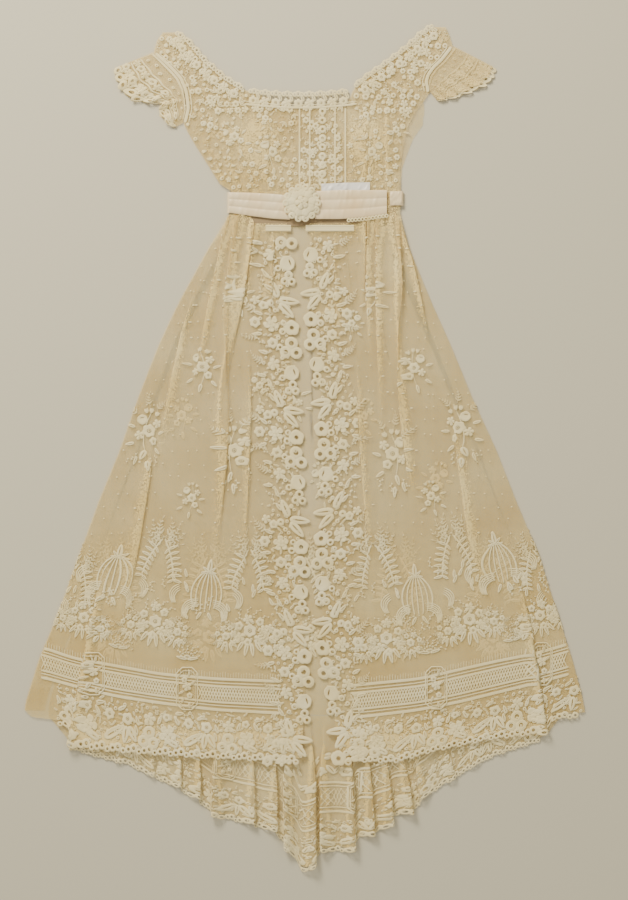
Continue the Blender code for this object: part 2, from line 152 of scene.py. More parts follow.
INSERTION = (
    Band(-560, -366, -430),
    Band(-500, -371, -434),
    Band(-434, -394, -452),
    Band(-358, -407, -471),
    Band(-273, -423, -484),
    Band(-168, -432, -497),
    Band(-40, -437, -504),
    Band(84, -446, -512),
    Band(117, -442, -510),
    Band(221, -432, -497),
    Band(297, -414, -482),
    Band(373, -397, -463),
    Band(442, -384, -446),
    Band(516, -362, -426),
    Band(560, -352, -416),
)


def read(table, at, key, value, soft=6.0):
    """A column of a table where its key column is at, with corners softened over a few millimetres."""
    rows = sorted((getattr(row, key), getattr(row, value)) for row in table)
    keys, values = zip(*rows)
    offsets = (-1.0, -0.5, 0.0, 0.5, 1.0)
    return sum(np.interp(np.asarray(at, float) + soft * o, keys, values) for o in offsets) / len(offsets)


def smooth(share):
    """0 to 1 with level ends."""
    share = np.clip(share, 0.0, 1.0)
    return share * share * (3 - 2 * share)


def ridge(share):
    """Section of a soft fold: 1 at its crest and 0 from one half width away."""
    return np.where(np.abs(share) < 1, np.cos(np.pi / 2 * np.clip(share, -1, 1)) ** 2, 0.0)


def lerp(a, b, share):
    return a + (b - a) * share


SIGN = {"left": -1.0, "right": 1.0}
HEM_WIDTH = float(read(SIDES, -500, "y", "right") - read(SIDES, -500, "y", "left"))
print("skirt width at the hem:", round(HEM_WIDTH), "mm")

# %% [markdown]
# ## Folds
# Net that is gathered at a waist falls into folds that lean over and lie on themselves. A height alone
# can't show that. So each fold also carries the cloth sideways past its own crest: where it carries more
# than its width, three layers lie on each other and the strip looks darker, as on the real skirt. Each
# fold has its own place, height, width and lean, because even folds look like corrugated card.

# %% The folds of the front, the back and the train
Fold = namedtuple("Fold", "x0 y0 x1 y1 height wide0 wide1 lean fade_in fade_out")
LEFT_FOLDS = (
    Fold(-131, 452, -214, 60, 5, 6, 17, -13, 0.03, 0.6),
    Fold(-114, 452, -176, -60, 7, 7, 15, -17, 0.03, 0.65),
    Fold(-99, 441, -150, 120, 5, 5, 12, 9, 0.05, 0.6),
    Fold(-84, 434, -112, 215, 3, 5, 10, -7, 0.05, 0.7),
    Fold(-142, 310, -178, -290, 5, 9, 22, 15, 0.25, 0.5),
    Fold(-104, 240, -124, -330, 3.5, 8, 18, 9, 0.3, 0.5),
    Fold(-60, 420, -72, 160, 2.5, 5, 10, 5, 0.1, 0.7),
    Fold(-196, 330, -292, -120, 4, 9, 24, -12, 0.25, 0.6),
    Fold(-286, 60, -362, -380, 4, 14, 26, 13, 0.3, 0.5),
    Fold(-366, -180, -441, -600, 5, 8, 12, -13, 0.45, 0.02),
)
RIGHT_FOLDS = (
    Fold(165, 452, 186, 60, 7, 7, 17, 16, 0.03, 0.6),
    Fold(150, 452, 154, -60, 5, 6, 15, -14, 0.03, 0.65),
    Fold(132, 452, 130, 120, 5, 6, 13, -12, 0.04, 0.6),
    Fold(112, 441, 108, 200, 3, 5, 10, 7, 0.05, 0.7),
    Fold(170, 330, 226, -190, 5, 9, 22, -14, 0.25, 0.5),
    Fold(178, 440, 246, 150, 5, 6, 15, 10, 0.05, 0.6),
    Fold(104, 240, 142, -360, 3.5, 9, 18, -10, 0.3, 0.5),
    Fold(62, 420, 70, 150, 2.5, 5, 10, -5, 0.1, 0.7),
    Fold(288, 100, 356, -360, 4, 14, 26, -12, 0.3, 0.5),
    Fold(396, -180, 458, -600, 5, 8, 12, 13, 0.45, 0.02),
)
BACK_FOLDS = (
    Fold(-90, 430, -210, -120, 0.6, 6, 14, 9, 0.05, 0.5),
    Fold(-60, 430, -90, 60, 0.6, 6, 12, -8, 0.05, 0.5),
    Fold(10, 430, 4, -260, 0.6, 6, 12, 9, 0.05, 0.5),
    Fold(70, 430, 118, -60, 0.6, 6, 12, 8, 0.05, 0.5),
    Fold(120, 430, 236, -160, 0.6, 6, 14, -9, 0.05, 0.5),
)


def fold_at(fold, x, y):
    """(rise, sideways shift) of one fold at flat places x, y."""
    down = (fold.y0 - y) / (fold.y0 - fold.y1)
    crest = fold.x0 + (fold.x1 - fold.x0) * down
    wide = fold.wide0 + (fold.wide1 - fold.wide0) * np.clip(down, 0, 1)
    strength = smooth(down / fold.fade_in) * smooth((1 - down) / fold.fade_out)
    share = ridge((x - crest) / wide) * strength
    return fold.height * share, fold.lean * share


Flute = namedtuple("Flute", "x_seam x_hem share wide lean")
FLUTES = (
    Flute(-392, -402, 0.35, 15, 4),
    Flute(-340, -350, 0.45, 15, -5),
    Flute(-286, -292, 0.55, 14, 8),
    Flute(-240, -244, 0.75, 13, 10),
    Flute(-206, -210, 0.85, 12, 12),
    Flute(-158, -160, 1.00, 16, -9),
    Flute(-106, -108, 0.85, 15, 12),
    Flute(-66, -66, 0.90, 14, 13),
    Flute(-26, -24, 0.95, 14, -8),
    Flute(8, 8, 1.00, 14, 11),
    Flute(44, 48, 0.90, 14, -12),
    Flute(78, 86, 0.95, 13, 9),
    Flute(108, 120, 0.90, 13, 12),
    Flute(138, 154, 0.95, 13, 13),
    Flute(166, 192, 1.00, 14, 12),
    Flute(206, 234, 0.75, 14, -8),
    Flute(252, 280, 0.60, 15, 6),
    Flute(304, 328, 0.50, 15, -5),
    Flute(356, 376, 0.40, 15, 4),
    Flute(404, 418, 0.30, 15, 3),
)
FLUTE_RISE = ((-803, 15.0), (-700, 14.0), (-590, 8.0), (-505, 0.0))
print("folds:", len(LEFT_FOLDS) + len(RIGHT_FOLDS) + len(BACK_FOLDS), "flutes:", len(FLUTES))

# %% [markdown]
# ## From flat cloth to laid cloth
# Lace is drawn flat, then laid. So each cloth is a function that takes a flat place on it and gives the
# place where that bit of cloth lies. The net's grid and every flower on it go through the same function,
# and a flower on a fold bends with the fold. The front skirt also turns under at its side fold.

# %% Laying functions for the skirt
LAYER = 1.5
FLOOR = 0.6
FRONT = 3.0
BELT_LOW, BELT_HIGH = 424.0, 494.0


def near_belt(y, fade):
    away = np.maximum(np.maximum(BELT_LOW - y, y - BELT_HIGH), 0.0)
    return smooth(1 - away / fade)


def back_height(y):
    return FLOOR + LAYER * near_belt(y, 45)


def flute_height(y):
    keys, values = zip(*FLUTE_RISE)
    return np.interp(y, keys, values)


def front_height(x, y):
    """Height of the front layer with no folds in it."""
    inside = np.minimum(x - read(SIDES, y, "y", "left"), read(SIDES, y, "y", "right") - x)
    return FRONT + 2.4 * near_belt(y, 60) + flute_height(y) * smooth((inside - 10) / 90)


def lay_front(side):
    """The laying function of one front panel. x past the side fold is cloth turned under."""
    out = SIGN[side]
    folds = LEFT_FOLDS if side == "left" else RIGHT_FOLDS

    def lay(x, y):
        edge = out * read(SIDES, y, "y", side)
        low = back_height(y)
        radius = (front_height(out * edge, y) - low) / 2
        start = edge - radius
        past = np.maximum(out * x - start, 0.0)
        angle = np.minimum(past / radius, np.pi)
        straight = np.minimum(out * x, start) - np.maximum(past - np.pi * radius, 0)
        x_laid = out * (straight + radius * np.sin(angle))
        z = np.where(past > 0, low + radius * (1 + np.cos(angle)), front_height(x, y))
        for fold in folds:
            rise, shift = fold_at(fold, x, y)
            still = np.where(past > 0, 0.0, smooth((start - out * x) / 12))
            z = z + rise * still
            x_laid = x_laid + shift * still
        return x_laid, y + 0 * x, z

    return lay


def lay_back(x, y):
    """The back skirt and the train."""
    z = back_height(y) + 0 * x
    shift = 0 * x
    for fold in BACK_FOLDS:
        rise, aside = fold_at(fold, x, y)
        z = z + rise
        shift = shift + aside
    seam = -505.0
    down = np.where(y < seam, (seam - y) / (seam - read(TRAIN_HEM, x, "x", "y")), 0.0)
    high = flute_height(y)
    for flute in FLUTES:
        crest = flute.x_seam + (flute.x_hem - flute.x_seam) * down
        share = ridge((x - crest) / (flute.wide * (0.85 + 0.15 * down))) * flute.share
        z = z + share * high
        shift = shift + share * flute.lean * np.minimum(high / 8.0, 1.3)
    return x + shift, y + 0 * x, z


def normals(lay, x, y, step=0.5):
    """The upward normal of laid cloth at flat places, from its slope over a short step."""
    ax = np.stack(lay(x + step, y)) - np.stack(lay(x - step, y))
    ay = np.stack(lay(x, y + step)) - np.stack(lay(x, y - step))
    normal = np.cross(ax, ay, axis=0)
    return normal / np.maximum(np.linalg.norm(normal, axis=0), 1e-9)


# %% [markdown]
# ## Finishes
# Net is mostly holes, so its material is a mix of nothing and thread, and the mix follows a pattern of
# small cells. An image would need a huge size to show cells under two millimetres across; a cell pattern
# worked out from the place on the cloth stays sharp at any distance. Lace is opaque cotton, close woven,
# and silk is smooth with a soft gloss.

# %% Material helpers
def new_material(name):
    made = bpy.data.materials.new(name)
    made.use_nodes = True
    tree = made.node_tree
    tree.nodes.clear()
    return made, tree


def node(tree, kind, inputs=None, **settings):
    """A shader node with its settings and plain input values."""
    made = tree.nodes.new(kind)
    for key, value in settings.items():
        setattr(made, key, value)
    for key, value in (inputs or {}).items():
        made.inputs[key].default_value = value
    return made


def mapped(tree, scale):
    """Object coordinates, stretched, as a texture's vector."""
    place = node(tree, "ShaderNodeTexCoord")
    mapping = node(tree, "ShaderNodeMapping", {"Scale": scale})
    tree.links.new(place.outputs["Object"], mapping.inputs["Vector"])
    return mapping.outputs["Vector"]


def ramp(tree, source, low, high, colour_low, colour_high):
    made = node(tree, "ShaderNodeValToRGB")
    made.color_ramp.elements[0].position = low
    made.color_ramp.elements[0].color = (*colour_low, 1)
    made.color_ramp.elements[1].position = high
    made.color_ramp.elements[1].color = (*colour_high, 1)
    tree.links.new(source, made.inputs["Fac"])
    return made.outputs["Color"]


# %% [markdown]
# The net's threads are ivory, a little yellowed with age. Its cells are 2 mm across. The share of thread
# is higher in the deep border at the hem, where the real net is closer.

# %% Net
def net_material(name, colour_low, colour_high, cell, thread, thread_deep):
    made, tree = new_material(name)
    link = tree.links.new
    cells = node(tree, "ShaderNodeTexVoronoi", {"Scale": 1.0, "Randomness": 0.35}, feature="DISTANCE_TO_EDGE")
    link(mapped(tree, (1 / cell, 1 / cell, 0.2 / cell)), cells.inputs["Vector"])
    place = node(tree, "ShaderNodeTexCoord")
    split = node(tree, "ShaderNodeSeparateXYZ")
    link(place.outputs["Object"], split.inputs["Vector"])
    deep = node(
        tree,
        "ShaderNodeMapRange",
        {"From Min": -0.10, "From Max": -0.30, "To Min": thread, "To Max": thread_deep},
    )
    link(split.outputs["Y"], deep.inputs["Value"])
    is_thread = node(tree, "ShaderNodeMath", operation="LESS_THAN")
    link(cells.outputs["Distance"], is_thread.inputs[0])
    link(deep.outputs["Result"], is_thread.inputs[1])
    clouds = node(tree, "ShaderNodeTexNoise", {"Scale": 9.0, "Detail": 3.0})
    link(mapped(tree, (1, 1, 1)), clouds.inputs["Vector"])
    shader = node(tree, "ShaderNodeBsdfPrincipled", {"Roughness": 0.85, "Sheen Weight": 0.15})
    link(ramp(tree, clouds.outputs["Fac"], 0.35, 0.7, colour_low, colour_high), shader.inputs["Base Color"])
    hole = node(tree, "ShaderNodeBsdfTransparent")
    mix = node(tree, "ShaderNodeMixShader")
    link(is_thread.outputs["Value"], mix.inputs["Fac"])
    link(hole.outputs["BSDF"], mix.inputs[1])
    link(shader.outputs["BSDF"], mix.inputs[2])
    link(mix.outputs["Shader"], node(tree, "ShaderNodeOutputMaterial").inputs["Surface"])
    return made


def cloth_material(name, colour_low, colour_high, roughness, sheen, weave, bump, cloud=14.0):
    """An opaque cloth: clouded colour, a fine woven bump, and a nap that catches light at the edges."""
    made, tree = new_material(name)
    link = tree.links.new
    clouds = node(tree, "ShaderNodeTexNoise", {"Scale": cloud, "Detail": 4.0, "Roughness": 0.6})
    link(mapped(tree, (1, 1, 1)), clouds.inputs["Vector"])
    shader = node(tree, "ShaderNodeBsdfPrincipled", {"Roughness": roughness, "Sheen Weight": sheen})
    link(ramp(tree, clouds.outputs["Fac"], 0.3, 0.72, colour_low, colour_high), shader.inputs["Base Color"])
    threads = node(tree, "ShaderNodeTexVoronoi", {"Scale": 1.0, "Randomness": 0.6}, feature="F1")
    link(mapped(tree, (weave[0], weave[1], weave[1])), threads.inputs["Vector"])
    lifted = node(tree, "ShaderNodeBump", {"Strength": bump, "Distance": 0.0004})
    link(threads.outputs["Distance"], lifted.inputs["Height"])
    link(lifted.outputs["Normal"], shader.inputs["Normal"])
    link(shader.outputs["BSDF"], node(tree, "ShaderNodeOutputMaterial").inputs["Surface"])
    return made


NET = net_material("net", (0.84, 0.61, 0.20), (0.95, 0.75, 0.32), 0.0021, 0.105, 0.15)
LACE = cloth_material("lace", (0.90, 0.73, 0.34), (0.95, 0.83, 0.47), 0.85, 0.25, (900, 900), 0.5)
RIBBON = cloth_material("ribbon", (0.90, 0.64, 0.31), (0.96, 0.80, 0.48), 0.36, 0.3, (1500, 60), 0.25)
SATIN = cloth_material("satin", (0.94, 0.86, 0.70), (0.97, 0.93, 0.82), 0.28, 0.3, (1500, 60), 0.2)
TAPE = cloth_material("tape", (0.30, 0.20, 0.09), (0.42, 0.30, 0.15), 0.8, 0.1, (300, 2500), 0.5)
print("materials:", [m.name for m in (NET, LACE, RIBBON, SATIN, TAPE)])

# %% [markdown]
# ## Meshes
# Two helpers make every mesh. One lays a grid of flat places. The other lays drawn lace: it takes flat
# shapes with small heights and lifts each point off the laid cloth along its normal.

# %% Mesh helpers
MADE = []


def link_mesh(name, points, faces, material, shade=True):
    mesh = bpy.data.meshes.new(name)
    mesh.from_pydata((np.asarray(points) * MM).tolist(), [], faces)
    mesh.materials.append(material)
    if shade:
        mesh.shade_smooth()
    piece = bpy.data.objects.new(name, mesh)
    bpy.context.scene.collection.objects.link(piece)
    MADE.append(piece)
    return piece


def grid_faces(rows, columns):
    r, c = np.meshgrid(np.arange(rows - 1), np.arange(columns - 1), indexing="ij")
    first = (r * columns + c).ravel()
    return np.stack([first, first + 1, first + columns + 1, first + columns], 1).tolist()


def lay_grid(name, x, y, lay, material):
    """A piece of cloth from flat places x, y, given as two grids of equal shape."""
    laid = np.stack(lay(x, y), -1)
    return link_mesh(name, laid.reshape(-1, 3), grid_faces(*x.shape), material)


def surface_area(piece):
    return sum(polygon.area for polygon in piece.data.polygons)


# %% [markdown]
# ## Drawing lace
# A lace maker works with few things: close cloth inside an outline, and a cord laid on that outline. Here
# both are one primitive: rows of points that run side by side, each row with its own height. Round a
# petal the rows run from rim to heart, along a cord they run from one edge over the crown to the other.
# Flat places are complex numbers, because then to turn and scale a motif is one multiplication.

# %% The lace pen
LARGE = 8.0  # a shape that reaches further than this from its heart gets one more row


class Work:
    """Flat shapes with heights, collected before they are laid on cloth."""

    def __init__(self):
        self.points, self.heights, self.faces, self.count = [], [], [], 0

    def rows(self, rows, heights, closed):
        rows = np.asarray(rows, complex)
        count, along = rows.shape
        self.points.append(rows.ravel())
        self.heights.append(np.repeat(np.asarray(heights, float), along))
        steps = along if closed else along - 1
        for row in range(count - 1):
            a = self.count + row * along + np.arange(steps)
            b = self.count + row * along + (np.arange(steps) + 1) % along
            self.faces.append(np.stack([a, b, b + along, a + along], 1))
        self.count += count * along

    def laid(self, name, lay, material, lift=0.75, warp=None):
        """The drawn lace as one mesh on laid cloth. Warp first moves its flat points onto the cloth."""
        flat = np.concatenate(self.points)
        if warp:
            flat = warp(flat)
        x, y = flat.real, flat.imag
        up = np.concatenate(self.heights) + lift
        points = np.stack(lay(x, y), -1) + (normals(lay, x, y) * up).T
        points[:, 2] = np.maximum(points[:, 2], 0.1)
        faces = np.concatenate(self.faces)
        corners = flat[faces]
        turned = ((corners[:, 2] - corners[:, 0]) * np.conj(corners[:, 3] - corners[:, 1])).imag > 0
        faces[turned] = faces[turned][:, ::-1]
        piece = link_mesh(name, points, faces.tolist(), material)
        print(f"{name}: {2 * len(faces)} triangles")
        return piece


class Pen:
    """A place, turn, size and handedness from which motifs are drawn into a Work."""

    def __init__(self, work, at=0j, turn=0.0, size=1.0, flip=False):
        self.work, self.at, self.turn, self.size, self.flip = work, at, turn, size, flip

    def put(self, z):
        z = np.asarray(z, complex)
        if self.flip:
            z = -np.conj(z)
        return self.at + z * self.size * np.exp(1j * math.radians(self.turn))

    def go(self, z, turn=0.0, size=1.0, flip=False):
        """A new pen at z, turned by degrees as seen from this one."""
        way = -turn if self.flip else turn
        return Pen(self.work, complex(self.put(z)), self.turn + way, self.size * size, self.flip != flip)

    def cloth(self, outline, heart):
        """Close cloth between an outline and its heart: a point, or an inner outline for a hole."""
        outline = np.asarray(outline, complex)
        heart = np.asarray(heart, complex) + 0 * outline
        shares, heights = (0, 0.25, 1), (0.1, 0.85, 0.35)
        if np.abs(outline - heart).max() * self.size > LARGE:
            shares, heights = (0, 0.16, 0.4, 1), (0.1, 0.85, 0.4, 0.3)
        self.work.rows([self.put(outline + (heart - outline) * share) for share in shares], heights, True)

    def cord(self, path, width=1.3, height=0.8, closed=False):
        """A cord along a path, tapering a little at free ends."""
        path = np.asarray(path, complex)
        if closed:
            along = np.roll(path, -1) - np.roll(path, 1)
            taper = 1.0
        else:
            along = np.gradient(path)
            taper = np.clip(np.minimum(np.arange(len(path)), np.arange(len(path))[::-1]) + 0.6, 0, 1)
        across = 1j * along / np.maximum(np.abs(along), 1e-9) * width / 2 * taper
        rows = [self.put(path + across), self.put(path), self.put(path - across)]
        self.work.rows(rows, (0.1, height, 0.1), closed)


# %% [markdown]
# ## Motifs
# The flowers are of the usual kinds in appliqué lace: open blossoms with a ring at the heart, split
# leaves, rings in clusters, buds, ferns and plumes. Each motif is one short function, drawn pointing up
# (along the imaginary axis) with its foot at zero, so that a spray can stand them on stems.

# %% Lines and outlines
def circle(radius, count=12, centre=0j):
    return centre + radius * np.exp(2j * np.pi * np.arange(count) / count)


def lobed(radius, lobes, depth, count):
    """A round outline with lobes, as a blossom has."""
    angle = 2 * np.pi * np.arange(count) / count
    return radius * (1 - depth + depth * np.abs(np.cos(lobes * angle / 2))) * np.exp(1j * (angle + np.pi / 2))


def leaf_outline(length, width, count=12):
    """A pointed leaf with its foot at zero."""
    angle = 2 * np.pi * np.arange(count) / count
    along = (1 - np.cos(angle)) / 2
    return 1j * length * along + width / 2 * np.sin(angle) * (1.15 - 0.5 * along)


def bend(start, end, bulge, count=8):
    """An arc from start to end that bulges to the left of its way by a share of its length."""
    share = np.linspace(0, 1, count)
    start, end = complex(start), complex(end)
    return start + (end - start) * share + 1j * (end - start) * bulge * 4 * share * (1 - share)


# %% Flowers, leaves and rings
def leaf(pen, length, width):
    outline = leaf_outline(length, width)
    slit = 1j * length * 0.16 + leaf_outline(length * 0.66, width * 0.16)
    pen.cloth(outline, slit)


def ring(pen, radius, hole=0.42, count=10):
    pen.cloth(circle(radius, count), circle(radius * hole, count))


def blossom(pen, radius, lobes=5):
    outline = lobed(radius, lobes, 0.24, 5 * lobes)
    pen.cloth(outline, outline / np.abs(outline) * radius * 0.3)
    pen.cord(circle(radius * 0.17, 6), radius * 0.13, 1.08, True)


def rose(pen, radius):
    """A full rose: a heart inside two ruffs of petals."""
    for count, reach, wide in ((5, 1.0, 0.62), (4, 0.6, 0.42)):
        for i in range(count):
            petal = pen.go(0j, 360 * i / count + 18 * count)
            foot = 0.34 if count == 5 else 0.08
            oval = circle(1, 10)
            outline = 1j * radius * (foot + (reach - foot) / 2) + oval.real * radius * wide / 2 * 1.25
            outline = outline + 1j * oval.imag * radius * (reach - foot) / 2
            petal.cloth(outline, 1j * radius * (foot + 0.1) + 0 * outline)
    ring(pen, radius * 0.16, 0.3, 8)


def bell(pen, radius):
    """A scalloped bell flower seen from the side, with a slit under its rim."""
    angle = np.linspace(-0.15, 1.15, 12) * np.pi
    bowl = radius * np.exp(1j * angle) * (1 + 0.07 * np.cos(8 * angle))
    outline = np.concatenate([bowl, radius * np.array([-0.55 - 0.75j, -0.1 - 0.95j, 0.4 - 0.85j])])
    slit = 1j * radius * 0.4 + 0.42 * radius * (np.cos(np.angle(outline)) + 0.22j * np.sin(np.angle(outline)))
    pen.cloth(outline, slit)


def ring_cluster(pen, radius):
    """Three eyeleted rings in a scalloped cloth, as along the edges."""
    for angle, size in ((205, 1.0), (325, 1.0), (85, 1.08)):
        z = 0.78 * radius * np.exp(1j * math.radians(angle))
        ring(pen.go(z), radius * 0.78 * size, 0.38)
        pen.cord(circle(radius * 0.5 * size, 10, z), 0.9, 1.0, True)


def bud(pen, length):
    """A bud: a round cup, an arch over it and a small calyx."""
    cup = 1j * length * 0.42 + circle(1, 14).real * length * 0.36 + 1j * circle(1, 14).imag * length * 0.34
    pen.cloth(cup, 1j * length * 0.62 + 0.42 * cup.real + 0.18j * (cup.imag - length * 0.42))
    pen.cord(bend(-0.34 * length + 0.75j * length, 0.34 * length + 0.75j * length, -0.2, 7), 1.6)
    for way in (-1, 1):
        leaf(pen.go(0j, way * 38), length * 0.42, length * 0.2)


def berries(pen, count, reach):
    """A short curved stem of small round berries."""
    stem = bend(0, reach * np.exp(1j * math.radians(70)), 0.16, count + 1)
    pen.cord(stem, 0.9)
    for i, z in enumerate(stem[1:]):
        ring(pen.go(z + 1.6 * (-1) ** i), 1.9, 0.2, 6)


def fern(pen, length, pairs, droop=0.15):
    """A fern: a bent rib with paired leaflets that grow shorter to the tip."""
    rib = bend(0, 1j * length, droop, pairs + 2)
    pen.cord(rib, 1.0)
    for i in range(1, pairs + 1):
        way = math.degrees(np.angle(rib[i + 1] - rib[i])) - 90
        reach = length * 0.3 * (1 - 0.65 * i / pairs) + 2
        for hand in (-1, 1):
            leaf(pen.go(rib[i], way + hand * 52), reach, reach * 0.36)
    leaf(pen.go(rib[-1], math.degrees(np.angle(rib[-1] - rib[-2])) - 90), length * 0.16, length * 0.07)


def plume(pen, strands, reach, drop):
    """Cords that spring from one stem and curl over side by side, as in a feather."""
    for i in range(strands):
        share = i / max(strands - 1, 1)
        start = 1j * reach * (1.0 - 0.55 * share)
        end = start + reach * (0.95 - 0.35 * share) - 1j * drop * (1.0 - 0.3 * share)
        pen.cord(bend(start, end, 0.3 - 0.05 * share, 9), 2.3, 0.9)


# %% [markdown]
# The deep border repeats one picture: a hanging pod of cords under a small crown of leaves, with plumes
# that curl away from its foot, then a little palm whose two trunks part like a tent. Under the palms lie
# heaped bouquets.

# %% Pod, palm and bouquet
def pod(pen, width=50, height=74):
    for i in range(7):
        share = (i - 3) / 3
        top = 0.32 * share * width / 2
        low = 1.0 * share * width / 2
        strand = bend(top, low - 1j * height * (1 - 0.16 * abs(share)), 0.17 * share, 12)
        pen.cord(strand, 3.2 if i in (0, 6) else 2.5, 0.9)
        for z in strand[3::2]:
            ring(pen.go(z), 1.5, 0.2, 5)
    for way, reach in ((0, 26), (-48, 16), (48, 16), (-92, 15), (92, 15)):
        leaf(pen.go(0j, -way), reach, reach * 0.4)
    for hand in (False, True):
        mirrored = pen.go(0j, flip=hand)
        plume(mirrored.go(width * 0.34 - 1j * height * 1.02, 8), 5, 24, 40)
        plume(mirrored.go(width * 0.95 - 1j * height * 0.62, -12), 4, 20, 34)
        leaf(mirrored.go(width * 0.12 - 1j * height * 1.02, -150), 18, 7)


def palm(pen):
    for way in (-104, -74, -44, -14, 14, 44, 74, 104):
        fern(pen.go(0j, way), 36, 4, 0.22 if way > 0 else -0.22)
    for hand in (-1, 1):
        trunk = bend(hand * 2 - 4j, hand * 30 - 78j, hand * 0.06, 9)
        pen.cord(trunk, 3.4, 0.9)
        for i, z in enumerate(trunk[2:]):
            leaf(pen.go(z, -hand * (60 + 6 * i)), 18, 7)
            leaf(pen.go(z, hand * (150 - 4 * i)), 13, 6)


def bouquet(pen, seed):
    draw = np.random.default_rng(seed)
    blossom(pen.go(4j), 13, 6)
    for i in range(7):
        angle = 52 * i + draw.uniform(-9, 9)
        z = (24 + draw.uniform(-3, 4)) * np.exp(1j * math.radians(angle)) + 4j
        if i % 2:
            blossom(pen.go(z, draw.uniform(0, 90)), 8.5)
        else:
            rose(pen.go(z, draw.uniform(0, 90)), 10)
    for i in range(11):
        angle = draw.uniform(0, 360)
        z = draw.uniform(12, 38) * np.exp(1j * math.radians(angle)) + 4j
        ring(pen.go(z), draw.uniform(2.0, 3.4), 0.35, 8)
    for i, way in enumerate((-168, -146, -126, 172, 150, 128)):
        z = 22 * np.exp(1j * math.radians(way + 90)) + 2j
        leaf(pen.go(z, way), 26 - 3 * (i % 3), 9)
    for way in (-104, -70, 70, 104):
        fern(pen.go(20 * np.exp(1j * math.radians(way + 90)) + 4j, way), 30, 5, 0.2 if way > 0 else -0.2)
    for way in (-38, -12, 14, 40):
        berries(pen.go(22 * np.exp(1j * math.radians(way + 90)) + 4j, way), 5, 22)


# %% [markdown]
# Loose sprays are scattered over the net above the border: a large flower, a bell, a rose and buds on
# bent stems, longer than wide. The seed only changes how the stems lie, so that no two are the same.

# %% Sprays
def spray(pen, seed, full=True):
    draw = np.random.default_rng(seed)
    stem = bend(-34j, 40j, 0.08 * draw.choice((-1, 1)), 7)
    pen.cord(stem, 1.6)
    blossom(pen.go(2 + 6j, draw.uniform(0, 60)), 13, 6)
    bell(pen.go(-14 + 24j, 20), 10)
    rose(pen.go(15 + 22j, draw.uniform(0, 60)), 9)
    rose(pen.go(-14 - 6j, draw.uniform(0, 60)), 9)
    blossom(pen.go(13 - 12j, draw.uniform(0, 60)), 9)
    for z, way in ((40j, 4), (-8 + 38j, 24), (9 + 36j, -26)):
        bud(pen.go(z, way), 12)
    low = ((-20 - 22j, 118, 18), (20 - 24j, -122, 18), (0 - 32j, 176, 20))
    for z, way, reach in (*low, (22 + 4j, -74, 17), (-24 + 8j, 78, 17)):
        leaf(pen.go(z, way + draw.uniform(-10, 10)), reach, reach * 0.42)
    if full:
        for z, way in ((-4 + 52j, 14), (10 + 46j, -34), (-22 + 34j, 58)):
            fern(pen.go(z, way), 26, 4, 0.12)
        for z, way in ((-10 - 38j, 160), (8 - 42j, -165), (22 - 34j, -140)):
            berries(pen.go(z, way), 5, 22)
        leaf(pen.go(-10 - 46j, 170), 18, 7)
        leaf(pen.go(4 - 52j, -172), 20, 8)


# %% A filling of small work
def fill(pen, x_from, x_to, y_from, y_to, step, seed):
    """Small rings and leaves a little lower than the main flowers, as the filling between them."""
    draw = np.random.default_rng(seed)
    low = Lifted(pen, -0.45)
    for row, y in enumerate(np.arange(y_from, y_to, step * 0.8)):
        for x in np.arange(x_from + (row % 2) * step / 2, x_to, step):
            here = low.go(complex(x + draw.uniform(-2, 2), y + draw.uniform(-2, 2)), draw.uniform(0, 360))
            if draw.uniform() < 0.5:
                ring(here, draw.uniform(2.4, 3.8), 0.35, 8)
            else:
                leaf(here, draw.uniform(8, 13), 4.5)


# %% [markdown]
# Down each front edge runs a border as wide as a hand. Towards the opening it ends in scallops and in
# leaf points. On its inner side it breaks up into small flowers. One repeat is about 208 mm: a group of
# three leaves, a half flower, a cluster of rings and a bud.

# %% The front edge repeat
REPEAT = 208.0


